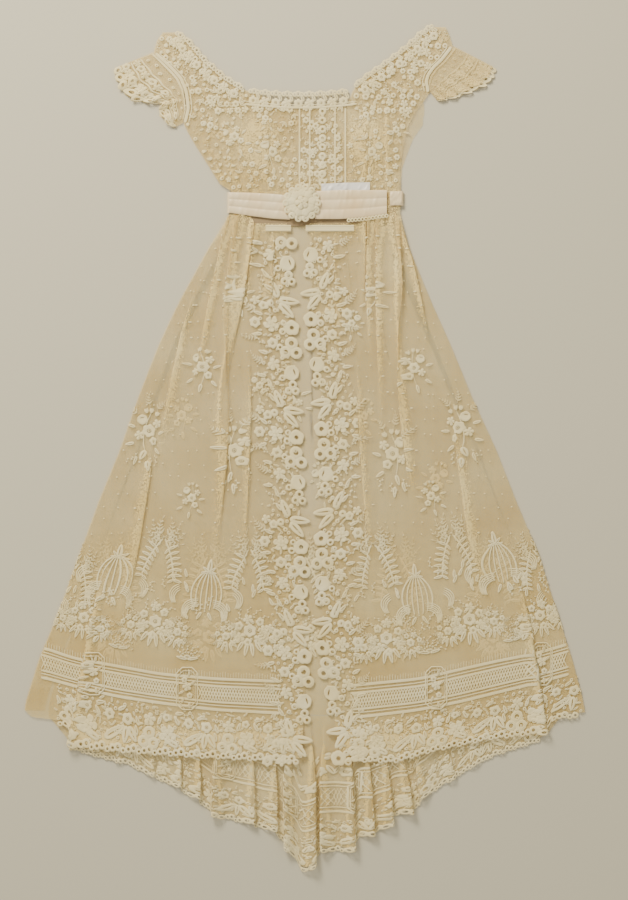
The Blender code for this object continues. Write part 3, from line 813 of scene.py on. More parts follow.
def edge_repeat(pen, seed, inner=True):
    """Drawn with the edge along the imaginary axis, cloth to the left of it and the leaves at zero."""
    draw = np.random.default_rng(seed)
    leaf(pen.go(-30 - 2j, -97), 40, 17)
    leaf(pen.go(-29 - 8j, -138), 38, 17)
    leaf(pen.go(-31 + 2j, 22), 36, 17)
    ring(pen.go(-47 - 8j), 7.5, 0.3)
    half = -9 - 55j
    pen.go(half).cloth(lobed(15, 5, 0.14, 24), circle(4.5, 24))
    ring(pen.go(-24 - 46j), 6)
    ring(pen.go(-27 - 62j), 7)
    ring_cluster(pen.go(-13 - 96j), 15)
    ring(pen.go(-34 - 92j), 6.5)
    bell(pen.go(-13 - 141j, -70), 15)
    pen.cord(bend(-26 - 122j, -6 - 126j, -0.3, 7), 2.4)
    ring(pen.go(-30 - 150j), 6.5)
    ring_cluster(pen.go(-11 - 171j), 10)
    if not inner:
        return
    rose(pen.go(-47 - 48j, draw.uniform(0, 90)), 15)
    blossom(pen.go(-48 - 84j, draw.uniform(0, 90)), 11, 6)
    blossom(pen.go(-60 - 12j, draw.uniform(0, 90)), 9)
    rose(pen.go(-46 - 124j, draw.uniform(0, 90)), 12)
    outer = ((-62 - 30j, 60), (-66 - 66j, 96), (-58 - 104j, 70), (-60 - 146j, 80))
    for z, way in (*outer, (-50 - 168j, 30), (-44 + 14j, 40)):
        leaf(pen.go(z, way + draw.uniform(-14, 14)), 19, 8)
    for z, way in ((-44 + 22j, 20), (-62 - 86j, 60), (-50 - 186j, 50)):
        berries(pen.go(z, way), 5, 24)
    fern(pen.go(-62 - 118j, 62), 30, 5)
    fern(pen.go(-70 - 22j, 52), 34, 5)
    fern(pen.go(-74 - 66j, 100), 28, 4)
    blossom(pen.go(-78 - 44j, draw.uniform(0, 90)), 11, 6)
    rose(pen.go(-74 - 2j, draw.uniform(0, 90)), 9)
    fill(pen, -66, -8, -REPEAT + 4, 4, 13, seed)
    for z in (-38 - 22j, -36 - 74j, -30 - 112j, -40 - 160j, -26 - 186j, -36 - 136j):
        ring(pen.go(z), 4.5, 0.3, 10)


# %% [markdown]
# Above the hem an insertion of woven bars and lattice is let in, three lines at each side, with a framed
# posy every 180 mm or so and a fringe of picots along its top. It is drawn against the band's own table,
# so that it rises and falls with it.

# %% The insertion band
def band_point(x, across):
    """A place in the band: across is 0 at its top and 1 at its lower edge."""
    return x + 1j * lerp(read(INSERTION, x, "x", "top", 20), read(INSERTION, x, "x", "low", 20), across)


def insertion(pen, x_from, x_to, frames):
    xs = np.arange(min(x_from, x_to), max(x_from, x_to), 6.0)
    for across, width in ((0.05, 5.5), (0.17, 2.2), (0.27, 4.2), (0.73, 4.2), (0.83, 2.2), (0.95, 5.5)):
        pen.cord(band_point(xs, across), width, 0.5)
    for x in np.arange(xs[0], xs[-1] - 10, 5.4):
        if any(abs(x + 5 - frame) < 20 for frame in frames):
            continue
        pen.cord(np.array([band_point(x, 0.3), band_point(x + 5.5, 0.5), band_point(x + 11, 0.7)]), 2.6, 0.8)
        pen.cord(np.array([band_point(x + 11, 0.3), band_point(x + 5.5, 0.5), band_point(x, 0.7)]), 2.6, 1.0)
    for i, x in enumerate(np.arange(xs[0], xs[-1], 5.0)):
        tall = 7 + 4 * abs(math.sin(i * 0.7))
        pen.cord(np.array([band_point(x, 0.0), band_point(x, 0.0) + 1j * tall]), 2.2, 0.5)
    for x in frames:
        frame_posy(pen.go(complex(band_point(x, 0.42))))


def frame_posy(pen):
    """An eight-sided frame with a posy in it."""
    wide, tall, cut = 20.0, 40.0, 11.0
    left = [-wide + 1j * (tall - cut), -wide - 1j * (tall - cut)]
    corners = np.array([*left, -wide + cut - 1j * tall, wide - cut - 1j * tall])
    corners = np.concatenate([corners, -corners])
    outline = np.concatenate([np.linspace(a, b, 4)[:-1] for a, b in zip(corners, np.roll(corners, -1))])
    pen.cord(outline, 2.6, 2.0, True)
    pen.cord(outline * 0.84, 1.6, 2.0, True)
    lifted = Lifted(pen, 1.0)
    rose(lifted.go(4j), 9)
    blossom(lifted.go(-5 + 17j), 6)
    blossom(lifted.go(5 - 13j), 6)
    for z, way in ((-6 - 4j, 120), (7 + 8j, -50), (3 + 24j, -10), (-6 - 16j, 160), (4 - 26j, 185)):
        leaf(lifted.go(z, way), 12, 5)


class Lifted(Pen):
    """A pen whose shapes stand a little higher, on top of other lace."""

    def __init__(self, pen, lift):
        super().__init__(pen.work, pen.at, pen.turn, pen.size, pen.flip)
        self.lift = lift

    def go(self, z, turn=0.0, size=1.0, flip=False):
        return Lifted(super().go(z, turn, size, flip), self.lift)

    def cloth(self, outline, heart):
        before = len(self.work.heights)
        super().cloth(outline, heart)
        self.raise_from(before)

    def cord(self, path, width=1.3, height=0.8, closed=False):
        before = len(self.work.heights)
        super().cord(path, width, height, closed)
        self.raise_from(before)

    def raise_from(self, before):
        for i in range(before, len(self.work.heights)):
            self.work.heights[i] = self.work.heights[i] + self.lift


# %% [markdown]
# ## The front skirt
# The net comes first, as a grid between the front edge and the turned-under side. Its columns are even
# shares of the width, so they fan out from the waist as the folds do. A straight grid would be nearer to
# the threads, but it would cut the slanting sides into steps.

# %% Net of the front panels
PANEL_TOP = 429.0
SKIRT_TOP = 445.4
INSET = 11.0  # the net ends this far inside the points of its lace edging


def panel_top(share):
    return lerp(PANEL_TOP, SKIRT_TOP, smooth((share - 0.5) / 0.16))


def panel_place(side, across, down):
    """Flat x, y at a share of the panel's width and length. Past a share of 1 it runs under."""
    out = SIGN[side]
    share = np.minimum(across, 1.0)
    x_hem = lerp(read(FRONT_EDGES, -590, "y", side), read(SIDES, -520, "y", side), share)
    y = lerp(panel_top(share), read(FRONT_HEM, x_hem, "x", "y") + INSET, down)
    x = lerp(read(FRONT_EDGES, y, "y", side) + out * INSET, read(SIDES, y, "y", side), share)
    return x + out * np.maximum(across - 1.0, 0) * 400.0, y


def front_net(side):
    bend_columns, under_columns = np.linspace(0.975, 1.012, 14), np.linspace(1.02, 1.1, 6)
    across = np.concatenate([np.linspace(0, 0.97, 130), bend_columns, under_columns])
    down = np.concatenate([np.linspace(0, 0.12, 22)[:-1], np.linspace(0.12, 1, 84)])
    grid_down, grid_across = np.meshgrid(down, across, indexing="ij")
    x, y = panel_place(side, grid_across, grid_down)
    return lay_grid(f"skirt_front_{side}_net", x, y, lay_front(side), NET)


FRONT_NET = {side: front_net(side) for side in ("left", "right")}
for side, piece in FRONT_NET.items():
    print(piece.name, len(piece.data.polygons) * 2, "triangles")
    print(piece.name, round(surface_area(piece), 3), "square metres")

# %% [markdown]
# Small dots are woven into the net in staggered rows. On laid net they are hardly more than a thread
# thick, but they tell the eye how the cloth runs, so each is a small disc of lace.

# %% Dots
def dots(pen, place, rows, columns, keep):
    """Staggered discs at the places that place(row, column) gives, where keep(z) allows."""
    for row in range(rows):
        for column in range(columns):
            z = complex(place(row, column + 0.5 * (row % 2)))
            if keep(z):
                nudge = 5 * math.sin(7.3 * row + 3.1 * column) + 4j * math.sin(4.7 * row + 5.9 * column)
                ring(pen.go(z + nudge), 1.7, 0.05, 6)


# %% [markdown]
# Now the lace of the front panels. Sprays are placed one by one, at the heights where they lie on each
# panel; the deep border takes turns of pod and palm across the width, and each palm has its bouquet.

# %% Sprays and deep border on the front
Spray = namedtuple("Spray", "x y turn size full")
SPRAYS = {
    "left": (
        Spray(-121, 292, 6, 0.8, False),
        Spray(-191, 152, -4, 0.86, False),
        Spray(-297, 30, -12, 1.0, True),
        Spray(-134, -8, -4, 1.08, True),
        Spray(-214, -96, -8, 0.7, False),
        Spray(-84, 118, 4, 0.6, False),
    ),
    "right": (
        Spray(136, 294, -6, 0.8, False),
        Spray(212, 150, 6, 0.86, False),
        Spray(172, -14, 6, 1.08, True),
        Spray(244, -92, 10, 0.7, False),
        Spray(92, 236, -6, 0.6, False),
        Spray(300, 36, 14, 1.0, True),
    ),
}
Stand = namedtuple("Stand", "x y turn size")
PODS = {
    "left": (Stand(-352, -205, -14, 1.0), Stand(-180, -234, -6, 1.0), Stand(-490, -240, -22, 0.9)),
    "right": (Stand(212, -242, 6, 1.0), Stand(364, -180, 13, 1.0), Stand(488, -230, 20, 0.9)),
}
PALMS = {
    "left": (Stand(-264, -166, -10, 1.0), Stand(-102, -186, -3, 1.0), Stand(-422, -214, -16, 0.9)),
    "right": (Stand(136, -178, 4, 1.0), Stand(280, -158, 10, 1.0), Stand(432, -188, 16, 0.9)),
}
BOUQUETS = {
    "left": (Stand(-282, -330, -9, 1.0), Stand(-102, -348, -4, 1.0), Stand(-418, -322, -16, 0.85)),
    "right": (Stand(158, -362, 6, 1.0), Stand(316, -326, 12, 1.0), Stand(450, -318, 16, 0.85)),
}
FANS = {
    "left": (Stand(-221, -398, -5, 1.0), Stand(-352, -376, -12, 0.9)),
    "right": (Stand(240, -386, 8, 1.0), Stand(398, -362, 14, 0.9)),
}
FRAMES = {"left": (-398, -221), "right": (252, 452)}


def fan_sprig(pen):
    for way in (-62, -38, -14, 12, 36, 60):
        berries(pen.go(0j, way), 5, 30)
    for way in (-80, 80):
        leaf(pen.go(0j, way), 22, 7)


def front_lace(side):
    work = Work()
    pen = Pen(work)
    mirror = side == "right"
    for i, mark in enumerate(SPRAYS[side]):
        spray(pen.go(mark.x + 1j * mark.y, mark.turn, mark.size, mirror), 10 + i, mark.full)
    for mark in PODS[side]:
        pod(pen.go(mark.x + 1j * mark.y, mark.turn, mark.size))
    for mark in PALMS[side]:
        palm(pen.go(mark.x + 1j * mark.y, mark.turn, mark.size))
    for i, mark in enumerate(BOUQUETS[side]):
        middle = pen.go(mark.x + 1j * mark.y, mark.turn, mark.size, mirror)
        bouquet(middle, 20 + i)
        for hand in (-1, 1):
            bouquet(middle.go(hand * 44 - 12j, -hand * 16, 0.66), 30 + 2 * i + hand)
    draw = np.random.default_rng(77)
    for mark in PODS[side] + PALMS[side]:
        for _ in range(9):
            aside = draw.uniform(-46, 46) + 1j * draw.uniform(-112, -62)
            here = pen.go(mark.x + 1j * mark.y + aside * mark.size, draw.uniform(-40, 40))
            (berries(here, 5, 22) if draw.uniform() < 0.5 else leaf(here, 17, 7))
    for mark in FANS[side]:
        fan_sprig(pen.go(mark.x + 1j * mark.y, mark.turn, mark.size))
    out = SIGN[side]

    def place(row, column):
        y = 405 - 27 * row
        first = read(FRONT_EDGES, y, "y", side) + out * 70
        return lerp(first, read(SIDES, y, "y", side), column / 12) + 1j * y

    marks = [m.x + 1j * m.y for m in SPRAYS[side]]

    def keep(z):
        on_top = out * z.real < out * read(SIDES, z.imag, "y", side) - 9
        return on_top and all(abs(z - mark) > 44 for mark in marks)

    dots(pen, place, 22, 12, keep)
    return work.laid(f"skirt_front_{side}_lace", lay_front(side), LACE)


FRONT_LACE = {side: front_lace(side) for side in ("left", "right")}

# %% [markdown]
# The front borders are drawn along a straight edge, and a warp carries them onto the real one. On the
# right panel the same warp also mirrors them, as the maker would turn the pattern over.

# %% Front borders
def front_border(side):
    out = SIGN[side]
    work = Work()
    pen = Pen(work)
    for i, y in enumerate(np.arange(500, -700, -REPEAT) - (6 if side == "left" else -10)):
        edge_repeat(pen.go(1j * y), 40 + i)

    def warp(flat):
        return read(FRONT_EDGES, flat.imag, "y", side) - out * flat.real + 1j * flat.imag

    trimmed(work, [shape.imag.max() < 405 and shape.imag.min() > -602 for shape in work.points])
    return work.laid(f"front_border_{side}_lace", lay_front(side), LACE, 1.5, warp)


def trimmed(work, keep):
    """Drops the shapes that keep marks as False, and renumbers the faces of the rest."""
    points, heights, faces, count, start = [], [], [], 0, 0
    face_at = np.concatenate(work.faces)
    for shape, height, kept in zip(work.points, work.heights, keep):
        if kept:
            mine = face_at[(face_at[:, 0] >= start) & (face_at[:, 0] < start + len(shape))]
            points.append(shape)
            heights.append(height)
            faces.append(mine - start + count)
            count += len(shape)
        start += len(shape)
    work.points, work.heights, work.faces, work.count = points, heights, faces, count


FRONT_BORDERS = {side: front_border(side) for side in ("left", "right")}

# %% Insertion bands of the front
def insertion_band(side):
    work = Work()
    reach = 8.0
    start = float(read(FRONT_EDGES, -440, "y", side)) + SIGN[side] * 52
    end = float(read(SIDES, -410, "y", side)) - SIGN[side] * reach
    insertion(Pen(work), start, end, FRAMES[side])
    return work.laid(f"insertion_{side}_lace", lay_front(side), LACE, 1.0)


INSERTIONS = {side: insertion_band(side) for side in ("left", "right")}

# %% [markdown]
# The hem's own border fills the space below the band. It is drawn on a straight strip too: along is the
# way along the hem and up is the share of the way from the hem to the band.

# %% Hem borders of the front
HEM_DEPTH = 86.0


def hem_repeat(pen, seed):
    """About 150 mm of hem lace, standing on its scalloped edge."""
    draw = np.random.default_rng(seed)
    for i in range(15):
        ring(pen.go(-70 + 10 * i + 3j + 2.5j * (i % 3)), 5.6 + (i % 3), 0.4, 10)
    fill(pen, -74, 76, 12, 80, 12, seed)
    ring_cluster(pen.go(-52 + 26j), 14)
    rose(pen.go(-16 + 36j, draw.uniform(0, 60)), 17)
    leaf(pen.go(14 + 20j, -58), 46, 17)
    leaf(pen.go(4 + 16j, 64), 30, 13)
    leaf(pen.go(56 + 44j, 172), 30, 14)
    leaf(pen.go(60 + 44j, -150), 30, 14)
    blossom(pen.go(58 + 56j, draw.uniform(0, 60)), 11)
    blossom(pen.go(24 + 60j, draw.uniform(0, 60)), 10, 6)
    rose(pen.go(-50 + 60j, draw.uniform(0, 60)), 12)
    blossom(pen.go(-18 + 66j, draw.uniform(0, 60)), 8)
    first = ((-70 + 46j, 20), (-34 + 52j, -20), (6 + 54j, 30))
    for z, way in (*first, (40 + 68j, -60), (76 + 30j, 10), (-2 + 74j, -80)):
        leaf(pen.go(z, way), 18, 8)
    for z, way in ((-66 + 66j, 40), (44 + 26j, 20), (12 + 66j, -40), (-30 + 74j, 70)):
        berries(pen.go(z, way), 5, 20)


def hem_warp(hem, top):
    """Carries a straight strip onto the space between a hem and a top line."""

    def warp(flat):
        return flat.real + 1j * (hem(flat.real) + flat.imag * (top(flat.real) - hem(flat.real)) / HEM_DEPTH)

    return warp


def hem_border(side):
    work = Work()
    out = SIGN[side]
    start = float(read(FRONT_EDGES, -560, "y", side)) + out * 40
    end = float(read(SIDES, -500, "y", side))
    for i, x in enumerate(np.arange(start + out * 60, end, out * 150)):
        hem_repeat(Pen(work, complex(x)), 60 + i)
    trimmed(work, [(out * shape.real).max() < out * end - 4 for shape in work.points])

    def hem(x):
        return read(FRONT_HEM, x, "x", "y") + 2

    def top(x):
        return read(INSERTION, x, "x", "low", 20) - 2

    return work.laid(f"hem_border_{side}_lace", lay_front(side), LACE, 1.2, hem_warp(hem, top))


HEM_BORDERS = {side: hem_border(side) for side in ("left", "right")}

# %% [markdown]
# ## The back skirt and the train
# The back lies flat under the front. What shows of it through the net are its own sprays and border, a
# little darker for being behind, so it has them too. The train is the same net, pressed in flutes.

# %% Back and train nets
def back_edge(side, y):
    """Where the back's cloth meets the front's turned-under edge."""
    x = float(read(SIDES, y, "y", side))
    return x - SIGN[side] * lerp(46.0, 22.0, (y + 520) / 966)


def back_net():
    down = np.linspace(0, 1, 90)
    rows = []
    for share in down:
        y = lerp(SKIRT_TOP, -504.5, share)
        rows.append(np.linspace(back_edge("left", y), back_edge("right", y), 120) + 1j * y)
    flat = np.array(rows)
    return lay_grid("skirt_back_net", flat.real, flat.imag, lay_back, NET)


def train_place(share, down):
    x_hem = lerp(TRAIN_HEM[0].x, TRAIN_HEM[-1].x, share)
    x = lerp(lerp(back_edge("left", -505), back_edge("right", -505), share), x_hem, down)
    return x, lerp(-505.3, read(TRAIN_HEM, x_hem, "x", "y", 3) + 8, down)


def train_net():
    down, share = np.meshgrid(np.linspace(0, 1, 24), np.linspace(0, 1, 460), indexing="ij")
    x, y = train_place(share, down)
    return lay_grid("train_net", x, y, lay_back, NET)


BACK_NET = back_net()
TRAIN_NET = train_net()
print("train net:", round(surface_area(TRAIN_NET), 3), "square metres")

# %% Lace of the back and the train
def back_lace():
    work = Work()
    pen = Pen(work)
    upper = ((-60, 300), (60, 250), (-20, 90), (110, 60))
    for i, (x, y) in enumerate((*upper, (-230, 60), (40, -60), (250, -60))):
        spray(pen.go(x + 1j * y, 20 * (i % 3 - 1), 0.8, i % 2 == 0), 80 + i, False)
    for i, x in enumerate(range(-360, 420, 180)):
        palm(pen.go(x - 200j, 0, 1.1))
        bouquet(pen.go(x - 360j), 90 + i)
    return work.laid("skirt_back_lace", lay_back, LACE, 0.65)


def train_lace():
    work = Work()
    pen = Pen(work)
    for i, x in enumerate(np.arange(-390, 440, 112)):
        hem_repeat(pen.go(complex(x), 0, 0.74, i % 2 == 1), 110 + i)
    xs = np.arange(-420.0, 440.0, 3.0)
    for level, width in ((76, 4.5), (84, 2.2), (124, 2.2), (131, 4.5)):
        pen.cord(xs + 1j * level, width, 0.5)
    for x in np.arange(-416, 430, 6.0):
        pen.cord(np.array([x + 88j, x + 8 + 105j, x + 120j]), 1.5, 0.5)
        pen.cord(np.array([x + 8 + 88j, x + 105j, x + 8 + 120j]), 1.5, 0.6)
    for x in np.arange(-380, 400, 118):
        frame_posy(pen.go(complex(x + 104j), 0, 0.72))
    for i, x in enumerate(np.arange(-400, 430, 34)):
        blossom(pen.go(x + 152j, 20 * i), 10, 6)
        leaf(pen.go(x + 17 + 146j, 24), 20, 8)
        leaf(pen.go(x + 17 + 148j, -34), 18, 8)
        rose(pen.go(x + 14 + 180j, 30 * i), 9)
    tops = [read(TRAIN_HEM, shape.real.mean(), "x", "y", 3) + shape.imag.max() for shape in work.points]
    trimmed(work, [y < -508 for y in tops])

    def warp(flat):
        return flat.real + 1j * (read(TRAIN_HEM, flat.real, "x", "y", 3) + flat.imag)

    return work.laid("train_lace", lay_back, LACE, 0.75, warp)


BACK_LACE = back_lace()
TRAIN_LACE = train_lace()

# %% [markdown]
# ## The bodice
# Five panels: two fronts, a centre strip of close lace, and two backs, all of the same dotted net and
# thick with small flowers. The lace round the neck stands in scallops along the shoulders.

# %% Outlines of the bodice
Bodice = namedtuple("Bodice", "y inner outer")
BODICE = {
    "left": (
        Bodice(446, -8, -133),
        Bodice(490, -8, -136),
        Bodice(504, -8, -159),
        Bodice(530, -8, -175),
        Bodice(582, -8, -208),
        Bodice(605, -8, -221),
        Bodice(620, -8, -228),
        Bodice(645, -8, -222),
        Bodice(655, -30, -222),
        Bodice(676, -92, -225),
        Bodice(684, -115, -227),
        Bodice(705, -150, -236),
        Bodice(723, -171, -252),
        Bodice(740, -190, -270),
        Bodice(753, -201, -285),
        Bodice(777, -222, -278),
        Bodice(792, -244, -267),
    ),
    "right": (
        Bodice(446, 80, 183),
        Bodice(490, 80, 182),
        Bodice(533, 80, 183),
        Bodice(573, 80, 189),
        Bodice(620, 80, 199),
        Bodice(645, 80, 216),
        Bodice(655, 84, 224),
        Bodice(678, 92, 240),
        Bodice(688, 98, 238),
        Bodice(699, 110, 236),
        Bodice(712, 127, 240),
        Bodice(726, 148, 250),
        Bodice(739, 165, 264),
        Bodice(754, 185, 276),
        Bodice(765, 199, 284),
        Bodice(786, 221, 277),
        Bodice(802, 244, 270),
    ),
}
UNDERARM = ((446, 1), (533, 4), (591, 16), (617, 29), (645, 14), (660, 0))
BACK_CENTRE = 26.0
BODICE_FOLDS = (
    Fold(-206, 612, -150, 500, 2.6, 8, 10, 5, 0.2, 0.2),
    Fold(-150, 640, -128, 500, 1.8, 9, 9, -5, 0.2, 0.2),
    Fold(-70, 640, -74, 500, 1.4, 8, 8, 4, 0.2, 0.2),
    Fold(160, 650, 164, 500, 2.2, 8, 9, -5, 0.2, 0.2),
    Fold(120, 640, 112, 500, 1.4, 8, 8, 4, 0.2, 0.2),
    Fold(206, 640, 188, 520, 2.0, 7, 8, 4, 0.2, 0.2),
)


def lay_bodice(x, y):
    swell = 5.0 * ridge((y - 585) / 90) * (ridge((x + 85) / 75) + ridge((x - 120) / 75))
    z = FRONT + 2.4 * near_belt(y, 60) + swell
    shift = 0 * x
    for fold in BODICE_FOLDS:
        rise, aside = fold_at(fold, x, y)
        z = z + rise
        shift = shift + aside
    return x + shift, y + 0 * x, z


def lay_bodice_back(x, y):
    return x, y + 0 * x, back_height(y) + 0 * x


def bodice_panel(name, side, lay, reach=False, back=False):
    rows = []
    for y in np.concatenate([np.linspace(446, 640, 44), np.linspace(643, BODICE[side][-1].y, 50)]):
        inner = float(read(BODICE[side], y, "y", "inner", 1))
        outer = float(read(BODICE[side], y, "y", "outer", 2))
        if back and y <= 652:
            inner = BACK_CENTRE + SIGN[side] * 0.3
        if reach:
            outer += SIGN[side] * float(np.interp(y, *zip(*UNDERARM)))
        rows.append(np.linspace(inner, outer, 46) + 1j * y)
    flat = np.array(rows)
    return lay_grid(name, flat.real, flat.imag, lay, NET)


BODICE_FRONT = {
    side: bodice_panel(f"bodice_front_{side}_net", side, lay_bodice) for side in ("left", "right")
}
BODICE_BACK = {
    side: bodice_panel(f"bodice_back_{side}_net", side, lay_bodice_back, side == "right", True)
    for side in ("left", "right")
}

# %% [markdown]
# Close lace isn't drawn flower by flower. A scatter walks a staggered grid over a panel, nudges each
# place a little and puts a small motif there if it lies inside. The order of motifs is fixed by a seed.

# %% A scatter of small flowers
def posy(pen, draw):
    kind = draw.integers(0, 6)
    if kind == 0:
        rose(pen, 9)
    elif kind == 1:
        blossom(pen, 8.5, 6)
    elif kind == 2:
        ring(pen, 6.5, 0.36)
    elif kind == 3:
        for way in (-50, 0, 50):
            leaf(pen.go(-6j, way), 15, 6.5)
    elif kind == 4:
        berries(pen.go(-8j), 5, 18)
    else:
        bud(pen.go(-6j), 13)


def scatter(pen, x_from, x_to, y_from, y_to, step, inside, seed, size=1.0, chance=1.0):
    draw = np.random.default_rng(seed)
    for row, y in enumerate(np.arange(y_from, y_to, step * 0.87)):
        for x in np.arange(x_from + (row % 2) * step / 2, x_to, step):
            z = complex(x + draw.uniform(-0.2, 0.2) * step, y + draw.uniform(-0.2, 0.2) * step)
            turn = draw.uniform(0, 360)
            skip = draw.uniform() > chance
            if inside(z) and not skip:
                posy(pen.go(z, turn, size * draw.uniform(0.85, 1.15)), draw)


def in_bodice(side, margin=6.0):
    def inside(z):
        inner = SIGN[side] * float(read(BODICE[side], z.imag, "y", "inner", 1))
        outer = SIGN[side] * float(read(BODICE[side], z.imag, "y", "outer", 1))
        return inner + margin < SIGN[side] * z.real < outer - margin and z.imag < BODICE[side][-1].y - 6

    return inside


# %% Lace of the bodice
BODICE_SPRAYS = {
    "left": ((-60, 560, 8, 0.8), (-130, 590, 24, 0.7), (-176, 612, 34, 0.55), (-72, 626, 30, 0.5)),
    "right": ((130, 560, -10, 0.75), (176, 604, -24, 0.55), (118, 632, -30, 0.5)),
}


def bodice_lace(side):
    work = Work()
    pen = Pen(work)
    for i, (x, y, turn, size) in enumerate(BODICE_SPRAYS[side]):
        spray(pen.go(x + 1j * y, turn, size, side == "right"), 130 + i, False)
    marks = [x + 1j * y for x, y, _, _ in BODICE_SPRAYS[side]]
    inside = in_bodice(side)

    def clear(z):
        return inside(z) and all(abs(z - mark) > 34 for mark in marks)

    scatter(pen, -240, 250, 500, 645, 15, clear, 5, 0.66, 0.85)
    scatter(pen, -290, 290, 645, 800, 14, inside, 6, 0.78, 0.95)
    return work.laid(f"bodice_front_{side}_lace", lay_bodice, LACE)


BODICE_LACE = {side: bodice_lace(side) for side in ("left", "right")}


def centre_panel():
    x, y = np.meshgrid(np.linspace(-7.7, 79.7, 40), np.linspace(446, 655, 60))
    return lay_grid("bodice_centre_net", x, y, lay_bodice, NET)


def centre_lace():
    work = Work()
    pen = Pen(work)
    scatter(pen, -2, 76, 500, 650, 13, lambda z: True, 7, 0.74)
    for x in (-7.5, 12, 60, 79.5):
        pen.cord(x + 1j * np.linspace(496, 648, 40), 3.0, 0.9)
    for i, y in enumerate(np.arange(506, 648, 17)):
        ring(pen.go(36 + 1j * y), 7.5, 0.35)
    return work.laid("bodice_centre_lace", lay_bodice, LACE)


CENTRE_NET = centre_panel()
CENTRE_LACE = centre_lace()


def back_bodice_lace(side):
    work = Work()
    inside = in_bodice(side, 8)
    scatter(Pen(work), -290, 290, 470, 800, 19, inside, 8, 0.85, 0.8)
    return work.laid(f"bodice_back_{side}_lace", lay_bodice_back, LACE, 0.65)


BODICE_BACK_LACE = {side: back_bodice_lace(side) for side in ("left", "right")}

# %% [markdown]
# The neck lace is a run of scallops with a flower in each. It crosses the front and goes up over each
# shoulder on the edge of the panel.

# %% Neck lace and armhole bindings
def neck_line(side):
    rows = [row for row in BODICE[side] if row.y >= (684 if side == "left" else 688)]
    return [complex(row.inner, row.y) for row in rows]


def along(line, step):
    """Places every step along a line, each with its direction in degrees."""
    line = np.asarray(line)
    lengths = np.concatenate([[0], np.cumsum(np.abs(np.diff(line)))])
    ways = []
    for at in np.arange(step / 2, lengths[-1], step):
        z = np.interp(at, lengths, line.real) + 1j * np.interp(at, lengths, line.imag)
        i = min(np.searchsorted(lengths, at), len(line) - 1)
        ways.append((complex(z), math.degrees(np.angle(line[i] - line[i - 1]))))
    return ways


def scallop_run(pen, line, hand, depth=26.0, step=21.0):
    """Scallops along a line, hanging to the left (1) or right (-1) of its way."""
    for i, (z, way) in enumerate(along(line, step)):
        here = pen.go(z, way)
        for aside, radius in ((-0.3, 0.3), (0.0, 0.36), (0.3, 0.3)):
            ring(here.go(aside * step - hand * 1j * (2 - 4 * abs(aside))), step * radius * 0.8, 0.42, 10)
        if i % 2:
            rose(here.go(hand * 1j * depth * 0.62), 9.5)
        else:
            blossom(here.go(hand * 1j * depth * 0.62), 9, 6)
        leaf(here.go(step / 2 + hand * 1j * depth * 0.5, 20), 15, 7)


def neck_front():
    work = Work()
    pen = Pen(work)
    line = [x + 1j * (673 + 0.0007 * (x + 6) ** 2) for x in np.linspace(-104, 92, 14)]
    scallop_run(pen, line, -1)
    low = [x + 1j * (649 + 0.0006 * (x + 6) ** 2) for x in np.linspace(-112, 100, 40)]
    pen.cord(np.array(low), 4.0, 1.0)
    pen.cord(np.array(low) + 5j, 1.6, 0.8)
    return work.laid("neck_border_front_lace", lay_bodice, LACE, 1.4)


def neck_side(side):
    work = Work()
    pen = Pen(work)
    scallop_run(pen, neck_line(side), -1 if side == "right" else 1)
    return work.laid(f"neck_border_{side}_lace", lay_bodice, LACE, 1.4)


def armhole(side):
    work = Work()
    ys = np.linspace(621 if side == "left" else 679, 752 if side == "left" else 764, 30)
    line = read(BODICE[side], ys, "y", "outer", 2) - SIGN[side] * 3 + 1j * ys
    Pen(work).cord(line, 6.0, 1.0)
    Pen(work).cord(line - SIGN[side] * 7, 2.0, 0.8)
    return work.laid(f"armhole_binding_{side}_cord", lay_bodice, LACE, 1.0)


NECK_FRONT = neck_front()
NECK_SIDES = {side: neck_side(side) for side in ("left", "right")}
ARMHOLES = {side: armhole(side) for side in ("left", "right")}

# %% [markdown]
# ## Cap sleeves
# Each sleeve is one piece folded over the shoulder, so it has an under half, a fold and an upper half.
# Its flat form is a strip: along runs down the armhole seam, across from the seam to the cuff.

# %% Sleeves
Sleeve = namedtuple("Sleeve", "seam_x seam_y cuff_x cuff_y")
SLEEVES = {
    "left": (
        Sleeve(-285, 753, -356, 724),
        Sleeve(-270, 740, -352, 705),
        Sleeve(-252, 723, -341, 683),
        Sleeve(-236, 705, -318, 664),
        Sleeve(-227, 684, -290, 659),
        Sleeve(-224, 665, -268, 656),
        Sleeve(-222, 645, -271, 634),
        Sleeve(-228, 620, -246, 611),
    ),
    "right": (
        Sleeve(284, 765, 362, 725),
        Sleeve(276, 754, 357, 711),
        Sleeve(264, 739, 346, 697),
        Sleeve(250, 726, 326, 686),
        Sleeve(240, 712, 305, 677),
        Sleeve(236, 699, 284, 669),
        Sleeve(238, 688, 267, 665),
        Sleeve(240, 678, 255, 662),
    ),
}
SLEEVE_LONG, SLEEVE_WIDE = 150.0, 80.0


